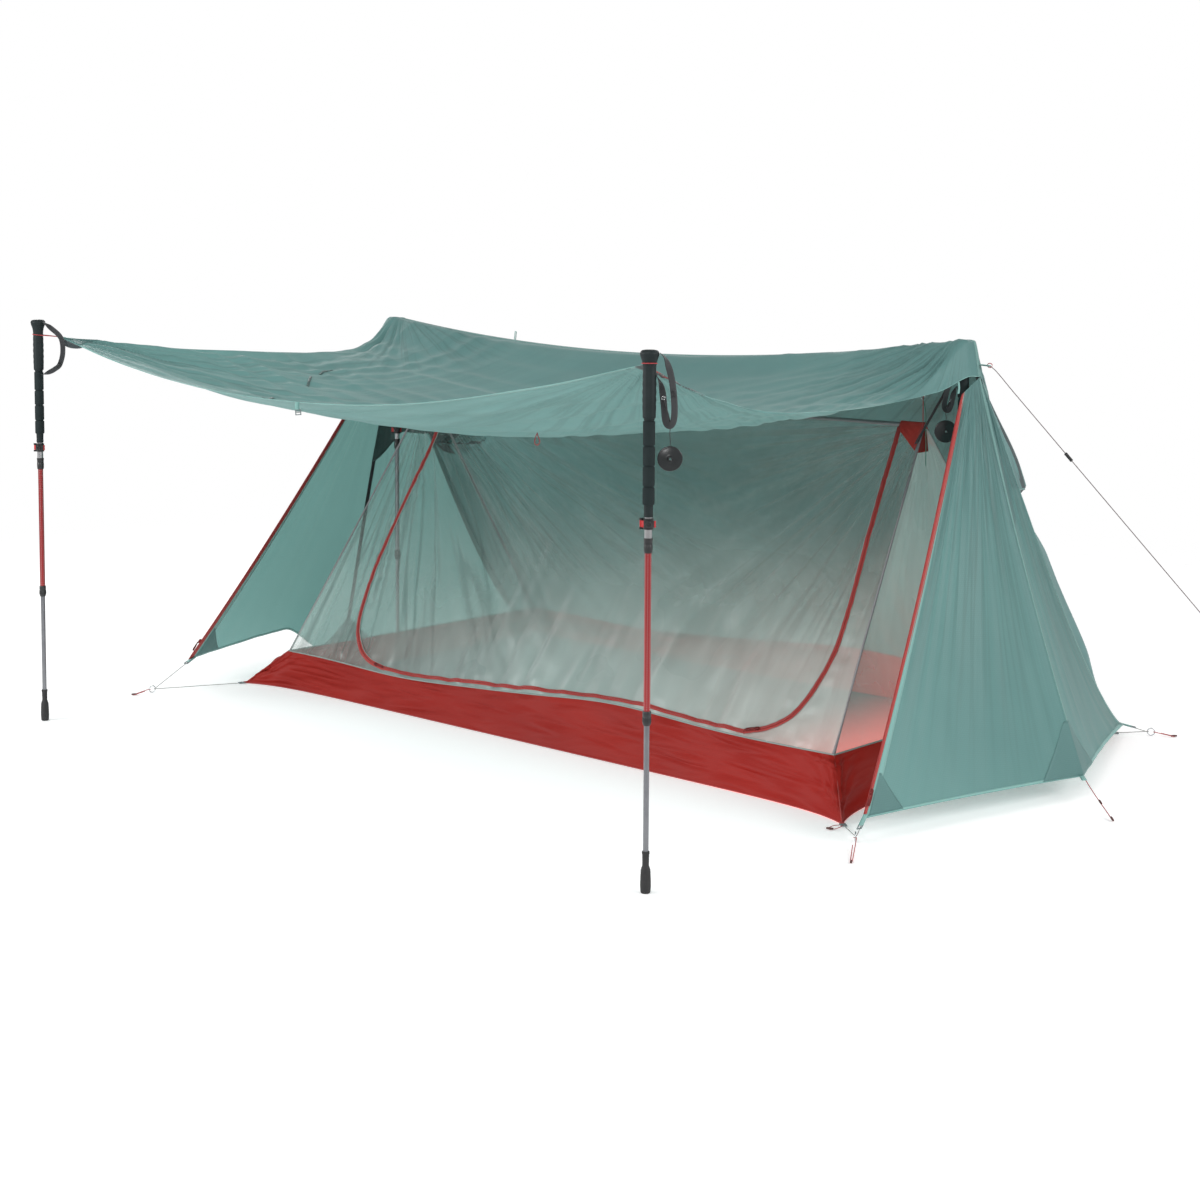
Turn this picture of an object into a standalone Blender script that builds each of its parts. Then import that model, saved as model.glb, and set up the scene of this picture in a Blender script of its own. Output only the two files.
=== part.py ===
# Two-person trekking-pole tent with its front door panel pitched as an awning.
# Metres, Z up. X runs along the ridge, Y points to the rear, and the ground is Z = 0.
# The frame's origin lies on the ground, under the middle of the ridge.

import math

import bmesh
import bpy
from mathutils import Vector

# Fits and sheet thicknesses
GAP = 0.0003
CLOTH = 0.002
TAPE = 0.0015

# The ridge, and the pieces whose places follow from it
RIDGE_HALF = 1.078
PEAK_Z = 1.126
RIDGE_SAG = 0.073
CAP_OVER = 0.036
CAP_DROP = 0.089
AWNING_OUT = 0.022
AWNING_DROP = 0.008
AWNING_TILT = 0.017
TUB_OUT = 0.062
INNER_IN = 0.128
CAP_HALF = RIDGE_HALF + CAP_OVER
CAP_EDGE_Z = PEAK_Z - CAP_DROP
TUB_X = RIDGE_HALF + TUB_OUT
TUB_FRONT = -0.605
TUB_REAR = 0.682
INNER_HALF = RIDGE_HALF - INNER_IN

# Flysheet
CAP_FLAT = 0.0204
CAP_DEPTH = 0.046
AWNING_X = RIDGE_HALF + AWNING_OUT
AWNING_Y = -1.275
AWNING_Z = PEAK_Z - AWNING_DROP
AWNING_LEFT_Z = AWNING_Z - AWNING_TILT
HEM_SAG = 0.142
HEM_INSET = 0.075
AWNING_BELLY = 0.075
SIDE_SAG_RIGHT = 0.100
SIDE_SAG_LEFT = 0.026
SIDE_INSET = 0.085
FRONT_FOOT = Vector((TUB_X + 0.136, TUB_FRONT - 0.100, 0.062))
END_FOOT = Vector((TUB_X + 0.290, 0.010, 0.055))
REAR_FOOT = Vector((TUB_X + 0.032, TUB_REAR + 0.010, 0.030))
REAR_BOW = 0.180
LEFT_HEM_LIFT = 0.036
ZIP_TOP = Vector((CAP_HALF - 0.006, -0.066, CAP_EDGE_Z - 0.037))
ZIP_WIDTH = 0.016
VENT_LIFT = 0.030

# Inner tent
TUB_WAIST = 0.056
TUB_END_WAIST = 0.075
TUB_LEAN = 0.048
TUB_RIM_Z = 0.118
TUB_RIM_TILT = 0.016
TUB_RIM_RISE = 0.024
TUB_RIM_DIP = 0.016
INNER_Z = 0.905
INNER_BOW = 0.010
PATCH_LENGTH = 0.075
PATCH_DROP = 0.085
DOOR_TAPE = 0.014

# Trekking poles
FRONT_POLE_X = AWNING_X + 0.046
FRONT_POLE_Y = AWNING_Y - 0.045
FRONT_POLE_TOP = AWNING_Z + 0.033
CAP_R = 0.0205
GRIP_R = 0.0140
FOAM_R = 0.0128
UPPER_R = 0.0082
MIDDLE_R = 0.0071
LOWER_R = 0.0060
TUBE_WALL = 0.0009
SLIDE_FIT = 0.0002
BUSH_R = 0.0097
CLAMP_R = 0.0112
CLAMP_H = 0.024
LOCK_R = 0.0092
LOCK_H = 0.031
FOOT_R = 0.0116
FOOT_H = 0.090
GRIP_DEPTH = 0.349
CLAMP_DROP = GRIP_DEPTH + 0.002
BUSH_DROP = CLAMP_DROP + CLAMP_H + 0.019
BUSH_END_DROP = BUSH_DROP + 0.031
LOCK_TOP_DROP = 0.760
MIDDLE_HIDDEN = 0.060
LOWER_HIDDEN = 0.055

# Cords
CORD_R = 0.0011
RING_R = 0.0100
RING_WIRE = 0.0016
LOOP_Z = AWNING_Z + 0.0045
LOOP_LEFT_Z = AWNING_LEFT_Z + 0.0070
GUY_ROOT = Vector((CAP_HALF - 0.0016, 0.004, CAP_EDGE_Z + 0.029))
GUY_START = Vector((CAP_HALF + 0.036, 0.004, CAP_EDGE_Z + 0.022))
GUY_TIGHTENER = Vector((CAP_HALF + 0.255, 0.004, CAP_EDGE_Z - 0.187))
GUY_END = Vector((CAP_HALF + 0.641, 0.004, CAP_EDGE_Z - 0.557))
TIGHTENER_R = 0.0042
TIGHTENER_LENGTH = 0.026

for item in list(bpy.data.objects):
    bpy.data.objects.remove(item, do_unlink=True)

tent = bpy.data.collections.new("trekking_pole_tent")
bpy.context.scene.collection.children.link(tent)
cutters = bpy.data.collections.new("cutters")
bpy.context.scene.collection.children.link(cutters)
cutters.hide_render = True


def material(name, colour, roughness, metallic=0.0):
    made = bpy.data.materials.new(name)
    made.use_nodes = True
    shader = made.node_tree.nodes["Principled BSDF"]
    shader.inputs["Base Color"].default_value = (*colour, 1.0)
    shader.inputs["Roughness"].default_value = roughness
    shader.inputs["Metallic"].default_value = metallic
    made.diffuse_color = (*colour, 1.0)
    return made


fly_cloth = material("fly_cloth", (0.17, 0.33, 0.28), 0.55)
floor_cloth = material("floor_cloth", (0.36, 0.03, 0.025), 0.55)
mesh_cloth = material("mesh_cloth", (0.30, 0.40, 0.37), 0.50)
red_tape = material("red_tape", (0.50, 0.05, 0.04), 0.60)
grip_foam = material("grip_foam", (0.012, 0.014, 0.016), 0.80)
black_plastic = material("black_plastic", (0.015, 0.016, 0.018), 0.45)
red_plastic = material("red_plastic", (0.42, 0.02, 0.02), 0.40)
red_tube = material("red_tube", (0.30, 0.03, 0.03), 0.35, 0.6)
grey_tube = material("grey_tube", (0.16, 0.17, 0.19), 0.35, 0.8)
foot_rubber = material("foot_rubber", (0.02, 0.02, 0.022), 0.75)
webbing = material("webbing", (0.015, 0.016, 0.02), 0.70)
cord_red = material("cord_red", (0.50, 0.12, 0.12), 0.60)
cord_pale = material("cord_pale", (0.62, 0.55, 0.55), 0.60)
steel = material("steel", (0.55, 0.57, 0.58), 0.30, 1.0)


def put(name, mesh, finish, location=(0.0, 0.0, 0.0), group=None):
    made = bpy.data.objects.new(name, mesh)
    made.location = location
    made.data.materials.clear()
    made.data.materials.append(finish)
    (group or tent).objects.link(made)
    return made


def smooth(t):
    t = min(1.0, max(0.0, t))
    return t * t * (3.0 - 2.0 * t)


def sheet(name, rows, finish, thickness=CLOTH, side=1.0):
    # One sheet of cloth: rows of points, thickened to the side that its faces look at.
    across = len(rows[0])
    points = [tuple(point) for row in rows for point in row]
    faces = []
    for i in range(len(rows) - 1):
        for j in range(across - 1):
            a = i * across + j
            faces.append((a, a + 1, a + across + 1, a + across))
    mesh = bpy.data.meshes.new(name)
    mesh.from_pydata(points, [], faces)
    made = put(name, mesh, finish)
    shell = made.modifiers.new("cloth", "SOLIDIFY")
    shell.thickness = thickness
    shell.offset = side
    shell.use_even_offset = True
    return made


def turned(name, profile, finish, location, steps=20):
    # A turned piece. The profile's points are (radius, height), outer side first from the top.
    points = [(radius, 0.0, height) for radius, height in profile]
    edges = [(i, i + 1) for i in range(len(points) - 1)]
    if profile[0][0] > 0.0001 and profile[-1][0] > 0.0001:
        edges.append((len(points) - 1, 0))
    mesh = bpy.data.meshes.new(name)
    mesh.from_pydata(points, edges, [])
    made = put(name, mesh, finish, location)
    turn = made.modifiers.new("turn", "SCREW")
    turn.axis = "Z"
    turn.steps = steps
    turn.render_steps = steps
    turn.use_merge_vertices = True
    turn.merge_threshold = 0.00005
    return made


def cord(name, points, radius, finish, cyclic=False, resolution=2):
    curve = bpy.data.curves.new(name, "CURVE")
    curve.dimensions = "3D"
    spline = curve.splines.new("POLY")
    spline.points.add(len(points) - 1)
    for spot, point in zip(spline.points, points):
        spot.co = (*point, 1.0)
    spline.use_cyclic_u = cyclic
    curve.bevel_depth = radius
    curve.bevel_resolution = resolution
    curve.use_fill_caps = not cyclic
    return put(name, curve, finish)


def smooth_route(knots, count):
    # A smooth curve through the route's own points, read at even steps.
    ends = [2 * knots[0] - knots[1]] + list(knots) + [2 * knots[-1] - knots[-2]]
    fine = []
    for i in range(1, len(ends) - 2):
        a, b, c, d = ends[i - 1], ends[i], ends[i + 1], ends[i + 2]
        for k in range(40):
            t = k / 40.0
            fine.append(0.5 * (2 * b + (c - a) * t + (2 * a - 5 * b + 4 * c - d) * t * t
                               + (3 * b - a - 3 * c + d) * t ** 3))
    fine.append(knots[-1])
    lengths = [0.0]
    for i in range(1, len(fine)):
        lengths.append(lengths[-1] + (fine[i] - fine[i - 1]).length)
    route = []
    at = 0
    for k in range(count):
        want = lengths[-1] * k / (count - 1)
        while at < len(fine) - 2 and lengths[at + 1] < want:
            at += 1
        span = max(1e-9, lengths[at + 1] - lengths[at])
        route.append(fine[at].lerp(fine[at + 1], (want - lengths[at]) / span))
    return route


def ribbon(name, points, across, thickness, finish):
    # A flat band along points, "across" wide on both sides, thickened outward.
    rows = [[point - across for point in points], [point + across for point in points]]
    return sheet(name, rows, finish, thickness, 1.0)


# Flysheet surfaces

def ridge_height(x):
    # The ridge sags between its two peaks, lies flat on a pole's handle and drops at its end.
    inner = RIDGE_HALF - CAP_FLAT + 0.001
    outer = RIDGE_HALF + CAP_FLAT
    if abs(x) <= inner:
        return PEAK_Z - RIDGE_SAG * (1.0 - (x / inner) ** 2)
    if abs(x) <= outer:
        return PEAK_Z
    return PEAK_Z - (PEAK_Z - CAP_EDGE_Z) * ((abs(x) - outer) / (CAP_HALF - outer)) ** 1.6


def ridge_steps(count):
    # Stations along the ridge, closer together at the two peaks.
    peak = RIDGE_HALF + CAP_FLAT
    inside = [peak * math.sin(0.5 * math.pi * (2.0 * i / count - 1.0)) for i in range(count + 1)]
    middle = peak + 0.6 * (CAP_HALF - peak)
    return [-CAP_HALF, -middle] + inside + [middle, CAP_HALF]


def awning_corner(sign):
    return Vector((sign * AWNING_X, AWNING_Y, AWNING_Z if sign > 0 else AWNING_LEFT_Z))


def hem_point(s):
    open_part = (1.0 - s * s) * (1.0 - 0.22 * s)
    point = awning_corner(-1).lerp(awning_corner(1), 0.5 * (s + 1.0))
    return point + Vector((0.0, HEM_INSET * (1.0 - s * s), -HEM_SAG * open_part))


CAP_SHARE = CAP_DEPTH / -AWNING_Y


def side_edge(sign, v):
    sag = SIDE_SAG_RIGHT if sign > 0 else SIDE_SAG_LEFT
    past = max(0.0, v - CAP_SHARE) / (1.0 - CAP_SHARE)
    hollow = 4.0 * past * (1.0 - past)
    x = CAP_HALF + (AWNING_X - CAP_HALF) * v - SIDE_INSET * hollow ** 0.8
    z = CAP_EDGE_Z + (awning_corner(sign).z - CAP_EDGE_Z) * v - sag * hollow
    z -= 0.02 * smooth(past / 0.08) * (1.0 - v) ** 3
    return Vector((sign * x, AWNING_Y * v - GAP * 0.5, z))


def roof_point(x, v):
    # Coons surface over the ridge, the hem and the two side edges, with its belly.
    s = x / CAP_HALF
    ridge = Vector((x, -GAP * 0.5, ridge_height(x)))
    hem = hem_point(s)
    left = side_edge(-1, v)
    right = side_edge(1, v)
    t = 0.5 * (s + 1.0)
    along = ridge.lerp(hem, v)
    across = left.lerp(right, t)
    corner_a = Vector((-CAP_HALF, 0.0, CAP_EDGE_Z)).lerp(Vector((CAP_HALF, 0.0, CAP_EDGE_Z)), t)
    corner_b = awning_corner(-1).lerp(awning_corner(1), t)
    both = corner_a.lerp(corner_b, v)
    point = along + across - both
    lift = ridge.z - CAP_EDGE_Z
    past = max(0.0, v - CAP_SHARE) / (1.0 - CAP_SHARE)
    point.z += lift * ((1.0 - past) ** (1.0 + 9.0 * abs(s) ** 3) - (1.0 - v))
    point.z -= AWNING_BELLY * (1.0 - s * s) * 4.0 * past * (1.0 - past)
    return point


ridge_stations = ridge_steps(24)
rows = []
ROOF_STEPS = [0.0, 0.018, 0.036, 0.06, 0.09, 0.13, 0.18, 0.24, 0.31]
ROOF_STEPS += [0.39, 0.48, 0.57, 0.66, 0.75, 0.83, 0.9, 0.96, 1.0]
for v in ROOF_STEPS:
    rows.append([roof_point(x, v) for x in ridge_stations])
sheet("fly_roof", list(reversed(rows)), fly_cloth)


def rear_edge(sign, w):
    # Seam between the end wall and the rear roof, from the peak down to the rear foot.
    top = Vector((CAP_HALF, 0.0, CAP_EDGE_Z))
    point = top.lerp(REAR_FOOT, w)
    point.y -= REAR_BOW * w ** 1.2 * (1.0 - w) ** 0.5
    return Vector((sign * point.x, point.y, point.z))


def rear_point(x, w):
    s = x / CAP_HALF
    t = 0.5 * (s + 1.0)
    ridge = Vector((x, GAP * 0.5, ridge_height(x)))
    lifted = 1.0 - s * s
    hem = Vector((REAR_FOOT.x * s, REAR_FOOT.y - 0.012 * lifted, REAR_FOOT.z + 0.022 * lifted))
    left = rear_edge(-1, w)
    right = rear_edge(1, w)
    corner_a = Vector((-CAP_HALF, 0.0, CAP_EDGE_Z)).lerp(Vector((CAP_HALF, 0.0, CAP_EDGE_Z)), t)
    corner_b = Vector((-REAR_FOOT.x, REAR_FOOT.y, REAR_FOOT.z)).lerp(REAR_FOOT, t)
    point = ridge.lerp(hem, w) + (left.lerp(right, t) - corner_a.lerp(corner_b, w)) * abs(s) ** 4
    lift = ridge.z - CAP_EDGE_Z
    point.z += lift * ((1.0 - w) ** (1.0 + 9.0 * abs(s) ** 3) - (1.0 - w))
    vent = smooth((abs(s) - 0.74) / 0.12) * smooth((1.0 - abs(s)) / 0.05)
    vent *= smooth(w / 0.26) * (1.0 - smooth((w - 0.30) / 0.04))
    point.y += VENT_LIFT * vent
    bulge = smooth((abs(s) - 0.70) / 0.2) * smooth((1.0 - abs(s)) / 0.05) * smooth((w - 0.3) / 0.2)
    point.y += 0.030 * bulge * smooth((1.0 - w) / 0.15)
    return point


SEAM_TOP = 0.02
SEAM_STEPS = [SEAM_TOP, 0.06, 0.12, 0.19, 0.27, 0.305, 0.34, 0.44, 0.56, 0.70, 0.85, 1.0]
rear_stations = ridge_steps(20)
rows = []
for w in [0.0] + SEAM_STEPS:
    rows.append([rear_point(x, w) for x in rear_stations])
sheet("fly_rear", rows, fly_cloth)


def end_wall_point(t, w, lift=0.0):
    # Right end wall: t runs 0 front edge, 0.5 middle seam, 1 rear edge, and w from top to hem.
    crown = Vector((CAP_HALF, -GAP - CLOTH, CAP_EDGE_Z - 2.0 * GAP))
    if t <= 0.5:
        u = t * 2.0
        top = ZIP_TOP.lerp(crown, u)
        foot = FRONT_FOOT.lerp(END_FOOT, u)
        foot.z += 0.004 * 4.0 * u * (1.0 - u)
    else:
        u = t * 2.0 - 1.0
        top = crown.lerp(rear_edge(1, SEAM_TOP), u)
        foot = END_FOOT.lerp(REAR_FOOT, u)
        foot.z += 0.010 * 4.0 * u * (1.0 - u)
    point = top.lerp(foot, w)
    bow = 4.0 * w * (1.0 - w)
    point.x -= 0.012 * bow * (1.0 - abs(2.0 * t - 1.0))
    point.y += 0.016 * bow * max(0.0, 1.0 - 4.0 * t)
    if t > 0.5:
        edge = rear_edge(1, SEAM_TOP + (1.0 - SEAM_TOP) * w)
        straight = rear_edge(1, SEAM_TOP).lerp(REAR_FOOT, w)
        point += (edge - straight) * u
        point += Vector((GAP, -GAP - CLOTH * (1.0 - w) ** 3, -GAP)) * u
    fold = math.sin(2.0 * math.pi * 4.0 * t) * math.sin(math.pi * t) ** 0.5
    point.x += 0.0035 * fold * (1.0 - w) * smooth(w / 0.1)
    point.z += lift * w ** 3 * (0.35 + 0.65 * math.sin(math.pi * t)) * smooth((1.0 - t) / 0.4)
    return point


for sign, side in ((1.0, "right"), (-1.0, "left")):
    rows = []
    heights = [(step - SEAM_TOP) / (1.0 - SEAM_TOP) for step in SEAM_STEPS]
    raised = 0.0 if sign > 0 else LEFT_HEM_LIFT
    for w in heights:
        row = [end_wall_point(j / 16.0, w, raised) for j in range(17)]
        rows.append([Vector((sign * point.x, point.y, point.z)) for point in row])
    if sign > 0:
        rows.reverse()
    sheet("fly_end_" + side, rows, fly_cloth)
    tape = []
    for w in heights:
        edge = end_wall_point(0.0, w, raised)
        inner = end_wall_point(0.05, w, raised)
        out = (edge - inner).normalized()
        tape.append([edge + out * (ZIP_WIDTH + GAP), edge + out * GAP])
    rows = [[Vector((sign * point.x, point.y, point.z)) for point in row] for row in tape]
    if sign > 0:
        rows.reverse()
    sheet("fly_zip_" + side, rows, red_tape)


# Bathtub floor and mesh inner

def ear(distance, waist):
    return waist * (1.0 - math.exp(-distance / (1.9 * waist)))


def tub_side(side, s):
    # Point of the tub's foot outline: side front, right, rear or left, s from -1 to 1.
    if side in ("front", "rear"):
        run = TUB_X * s
        pull = ear(TUB_X * (1.0 - abs(s)), TUB_WAIST)
        y = TUB_FRONT + pull if side == "front" else TUB_REAR - pull
        return Vector((run, y, 0.0))
    half = 0.5 * (TUB_REAR - TUB_FRONT)
    pull = ear(half * (1.0 - abs(s)), TUB_END_WAIST)
    x = TUB_X - pull
    return Vector((x if side == "right" else -x, TUB_FRONT + half * (1.0 + s), 0.0))


def rim_side(side, s, inset=0.0):
    # Point of the tub's rim above that outline.
    ear_in = 2.0 * TUB_LEAN
    x_half = TUB_X - ear_in - inset
    front = TUB_FRONT + ear_in + inset
    rear = TUB_REAR - ear_in - inset
    share = {"right": 1.0, "left": -1.0}.get(side, s)
    rise = TUB_RIM_Z + TUB_RIM_TILT * share
    if side in ("front", "rear"):
        inside = 1.0 - abs(s) ** 6
        rise += inside * TUB_RIM_RISE * math.exp(-((s - 0.3) / 0.28) ** 2)
        rise -= inside * TUB_RIM_DIP * math.exp(-((s + 0.5) / 0.28) ** 2)
    if side == "front":
        return Vector((x_half * s, front, rise))
    if side == "rear":
        return Vector((x_half * s, rear, rise))
    x = x_half - 0.006 * (1.0 - s * s)
    y = front + (rear - front) * 0.5 * (1.0 + s)
    return Vector((x if side == "right" else -x, y, rise))


STEPS = {"front": 18, "right": 12, "rear": 18, "left": 12}


def station(side, k):
    # Stations along one side from -1 to 1, closer together at the corners.
    return math.sin(0.5 * math.pi * (2.0 * k / STEPS[side] - 1.0))


def tub_floor():
    foot = []
    rim = []
    for side in ("front", "right", "rear", "left"):
        for k in range(STEPS[side]):
            s = station(side, k)
            if side in ("rear", "left"):
                s = -s
            foot.append(tub_side(side, s))
            rim.append(rim_side(side, s))
    count = len(foot)
    points = [tuple(point) for point in foot] + [tuple(point) for point in rim]
    faces = [tuple(reversed(range(count)))]
    for k in range(count):
        after = (k + 1) % count
        faces.append((k, after, count + after, count + k))
    mesh = bpy.data.meshes.new("floor_tub")
    mesh.from_pydata(points, [], faces)
    made = put("floor_tub", mesh, floor_cloth)
    shell = made.modifiers.new("cloth", "SOLIDIFY")
    shell.thickness = CLOTH
    shell.offset = -1.0
    shell.use_even_offset = True
    return made


tub_floor()


def inner_panel(side, s, w):
    # Point of an inner wall: w from 0 at the ridge or apex to 1 at the rim.
    foot = rim_side(side, s, CLOTH)
    foot.z += GAP
    if side in ("front", "rear"):
        keep = 1.0 - GAP / INNER_HALF
        top = Vector((INNER_HALF * s * keep, 0.0, INNER_Z))
        top.y = -GAP * 0.5 if side == "front" else GAP * 0.5
        foot.x *= keep
    else:
        sign = 1.0 if side == "right" else -1.0
        top = Vector((sign * INNER_HALF, 0.0, INNER_Z))
    point = top.lerp(foot, w)
    bow = 4.0 * w * (1.0 - w) * (1.0 - s * s)
    if side == "front":
        point.y += INNER_BOW * bow
    elif side == "rear":
        point.y -= INNER_BOW * bow
    else:
        point.x -= sign * INNER_BOW * bow
        point.y *= 1.0 - GAP
    return point


for side, lines in (("front", 8), ("rear", 4)):
    rows = []
    for i in range(lines + 1):
        rows.append([inner_panel(side, station(side, k), i / lines) for k in range(STEPS[side] + 1)])
    if side == "front":
        rows.reverse()
    sheet("inner_" + side, rows, mesh_cloth)
for side in ("right", "left"):
    rows = []
    for i in range(6):
        w = 0.015 + 0.985 * i / 5.0
        rows.append([inner_panel(side, station(side, k), w) for k in range(STEPS[side] + 1)])
    if side == "right":
        rows.reverse()
    sheet("inner_end_" + side, rows, mesh_cloth)


# The two apex patches cover the inner tent's top corners.

for sign, side in ((1.0, "right"), (-1.0, "left")):
    lift = CLOTH + GAP
    front_rim = rim_side("front", 0.96 * sign, CLOTH)
    rear_rim = rim_side("rear", 0.96 * sign, CLOTH)
    front_run = Vector((0.0, front_rim.y, front_rim.z - INNER_Z))
    rear_run = Vector((0.0, rear_rim.y, rear_rim.z - INNER_Z))
    end_rim = rim_side(side, 0.0, CLOTH)
    end_run = Vector((abs(end_rim.x) - INNER_HALF, 0.0, end_rim.z - INNER_Z))
    front_run.normalize()
    rear_run.normalize()
    end_run.normalize()
    rows = []
    for i in range(7):
        x = INNER_HALF - PATCH_LENGTH * i / 6.0
        drop = PATCH_DROP * (1.0 - 0.72 * i / 6.0)
        row = []
        for j in range(5):
            row.append(Vector((x, 0.0, INNER_Z)) + front_run * drop * (1.0 - j / 4.0))
        for j in range(1, 5):
            row.append(Vector((x, 0.0, INNER_Z)) + rear_run * drop * j / 4.0)
        rows.append(row)
    slope = math.atan2(-front_run.y, -front_run.z)
    rise = lift / math.sin(slope)
    rows = [[Vector((sign * point.x, point.y, point.z + rise)) for point in row] for row in rows]
    if sign < 0:
        rows.reverse()
    sheet("inner_patch_" + side, rows, red_tape, TAPE)


def door_route(sign):
    # The door's coil zip on one side: how far in from the apex it lies, and its share of the wall's height.
    if sign > 0:
        route = [(0.068, 0.05), (0.053, 0.25), (0.037, 0.42), (0.019, 0.58), (0.012, 0.70),
                 (0.025, 0.80), (0.062, 0.905), (0.120, 0.958), (0.193, 0.985)]
    else:
        route = [(0.108, 0.05), (0.128, 0.20), (0.121, 0.42), (0.118, 0.56), (0.124, 0.70),
                 (0.153, 0.855), (0.205, 0.935), (0.270, 0.972), (0.350, 0.985)]
    return [(sign * (INNER_HALF - inset), share) for inset, share in route]


def wall_spot(x, w):
    foot = rim_side("front", 0.0, CLOTH)
    reach = INNER_HALF + (rim_side("front", 1.0, CLOTH).x - INNER_HALF) * w
    return inner_panel("front", x / reach, w)


for sign, side in ((1, "right"), (-1, "left")):
    knots = [Vector((x, w, 0.0)) for x, w in door_route(sign)]
    line = smooth_route(knots, 26)
    rows = [[], []]
    for k, spot in enumerate(line):
        ahead = line[min(k + 1, len(line) - 1)]
        behind = line[max(k - 1, 0)]
        here = wall_spot(spot.x, spot.y)
        along = (wall_spot(ahead.x, ahead.y) - wall_spot(behind.x, behind.y)).normalized()
        down = (wall_spot(spot.x, spot.y + 0.01) - wall_spot(spot.x, spot.y - 0.01)).normalized()
        right = (wall_spot(spot.x + 0.01, spot.y) - wall_spot(spot.x - 0.01, spot.y)).normalized()
        out = down.cross(right).normalized()
        if out.y > 0.0:
            out = -out
        across = along.cross(out).normalized()
        base = here + out * (CLOTH + 2.0 * GAP)
        rows[0].append(base - across * DOOR_TAPE * 0.5)
        rows[1].append(base + across * DOOR_TAPE * 0.5)
    rows.reverse()
    sheet("inner_zip_" + side, rows, red_tape, TAPE)


# Trekking poles

def rounded_bar(name, outline, bottom, top, finish, location):
    # An outline in X and Y, raised from bottom to top.
    curve = bpy.data.curves.new(name, "CURVE")
    curve.dimensions = "2D"
    curve.fill_mode = "BOTH"
    curve.extrude = 0.5 * (top - bottom)
    spline = curve.splines.new("POLY")
    spline.points.add(len(outline) - 1)
    for spot, point in zip(spline.points, outline):
        spot.co = (point[0], point[1], 0.0, 1.0)
    spline.use_cyclic_u = True
    shape = bpy.data.objects.new(name + "_outline", curve)
    shape.location = (0.0, 0.0, 0.0)
    cutters.objects.link(shape)
    bpy.context.view_layer.update()
    mesh = bpy.data.meshes.new_from_object(shape.evaluated_get(bpy.context.evaluated_depsgraph_get()))
    bpy.data.objects.remove(shape, do_unlink=True)
    mesh.name = name
    body = bmesh.new()
    body.from_mesh(mesh)
    bmesh.ops.remove_doubles(body, verts=body.verts, dist=0.000001)
    bmesh.ops.translate(body, verts=body.verts, vec=(0.0, 0.0, 0.5 * (top + bottom)))
    body.to_mesh(mesh)
    body.free()
    return put(name, mesh, finish, location)


def circle(x, y, radius, count):
    turns = [2.0 * math.pi * k / count for k in range(count)]
    return [(x + radius * math.cos(turn), y + radius * math.sin(turn)) for turn in turns]


def join(target, other):
    # Fuses one mesh with another of the same piece.
    cutters.objects.link(other)
    tent.objects.unlink(other)
    other.hide_render = True
    other.display_type = "WIRE"
    fuse = target.modifiers.new("fuse", "BOOLEAN")
    fuse.operation = "UNION"
    fuse.solver = "EXACT"
    fuse.object = other


PIVOT_R = CLAMP_R + 0.0040
LEVER_TURN = math.radians(-150.0)


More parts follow.
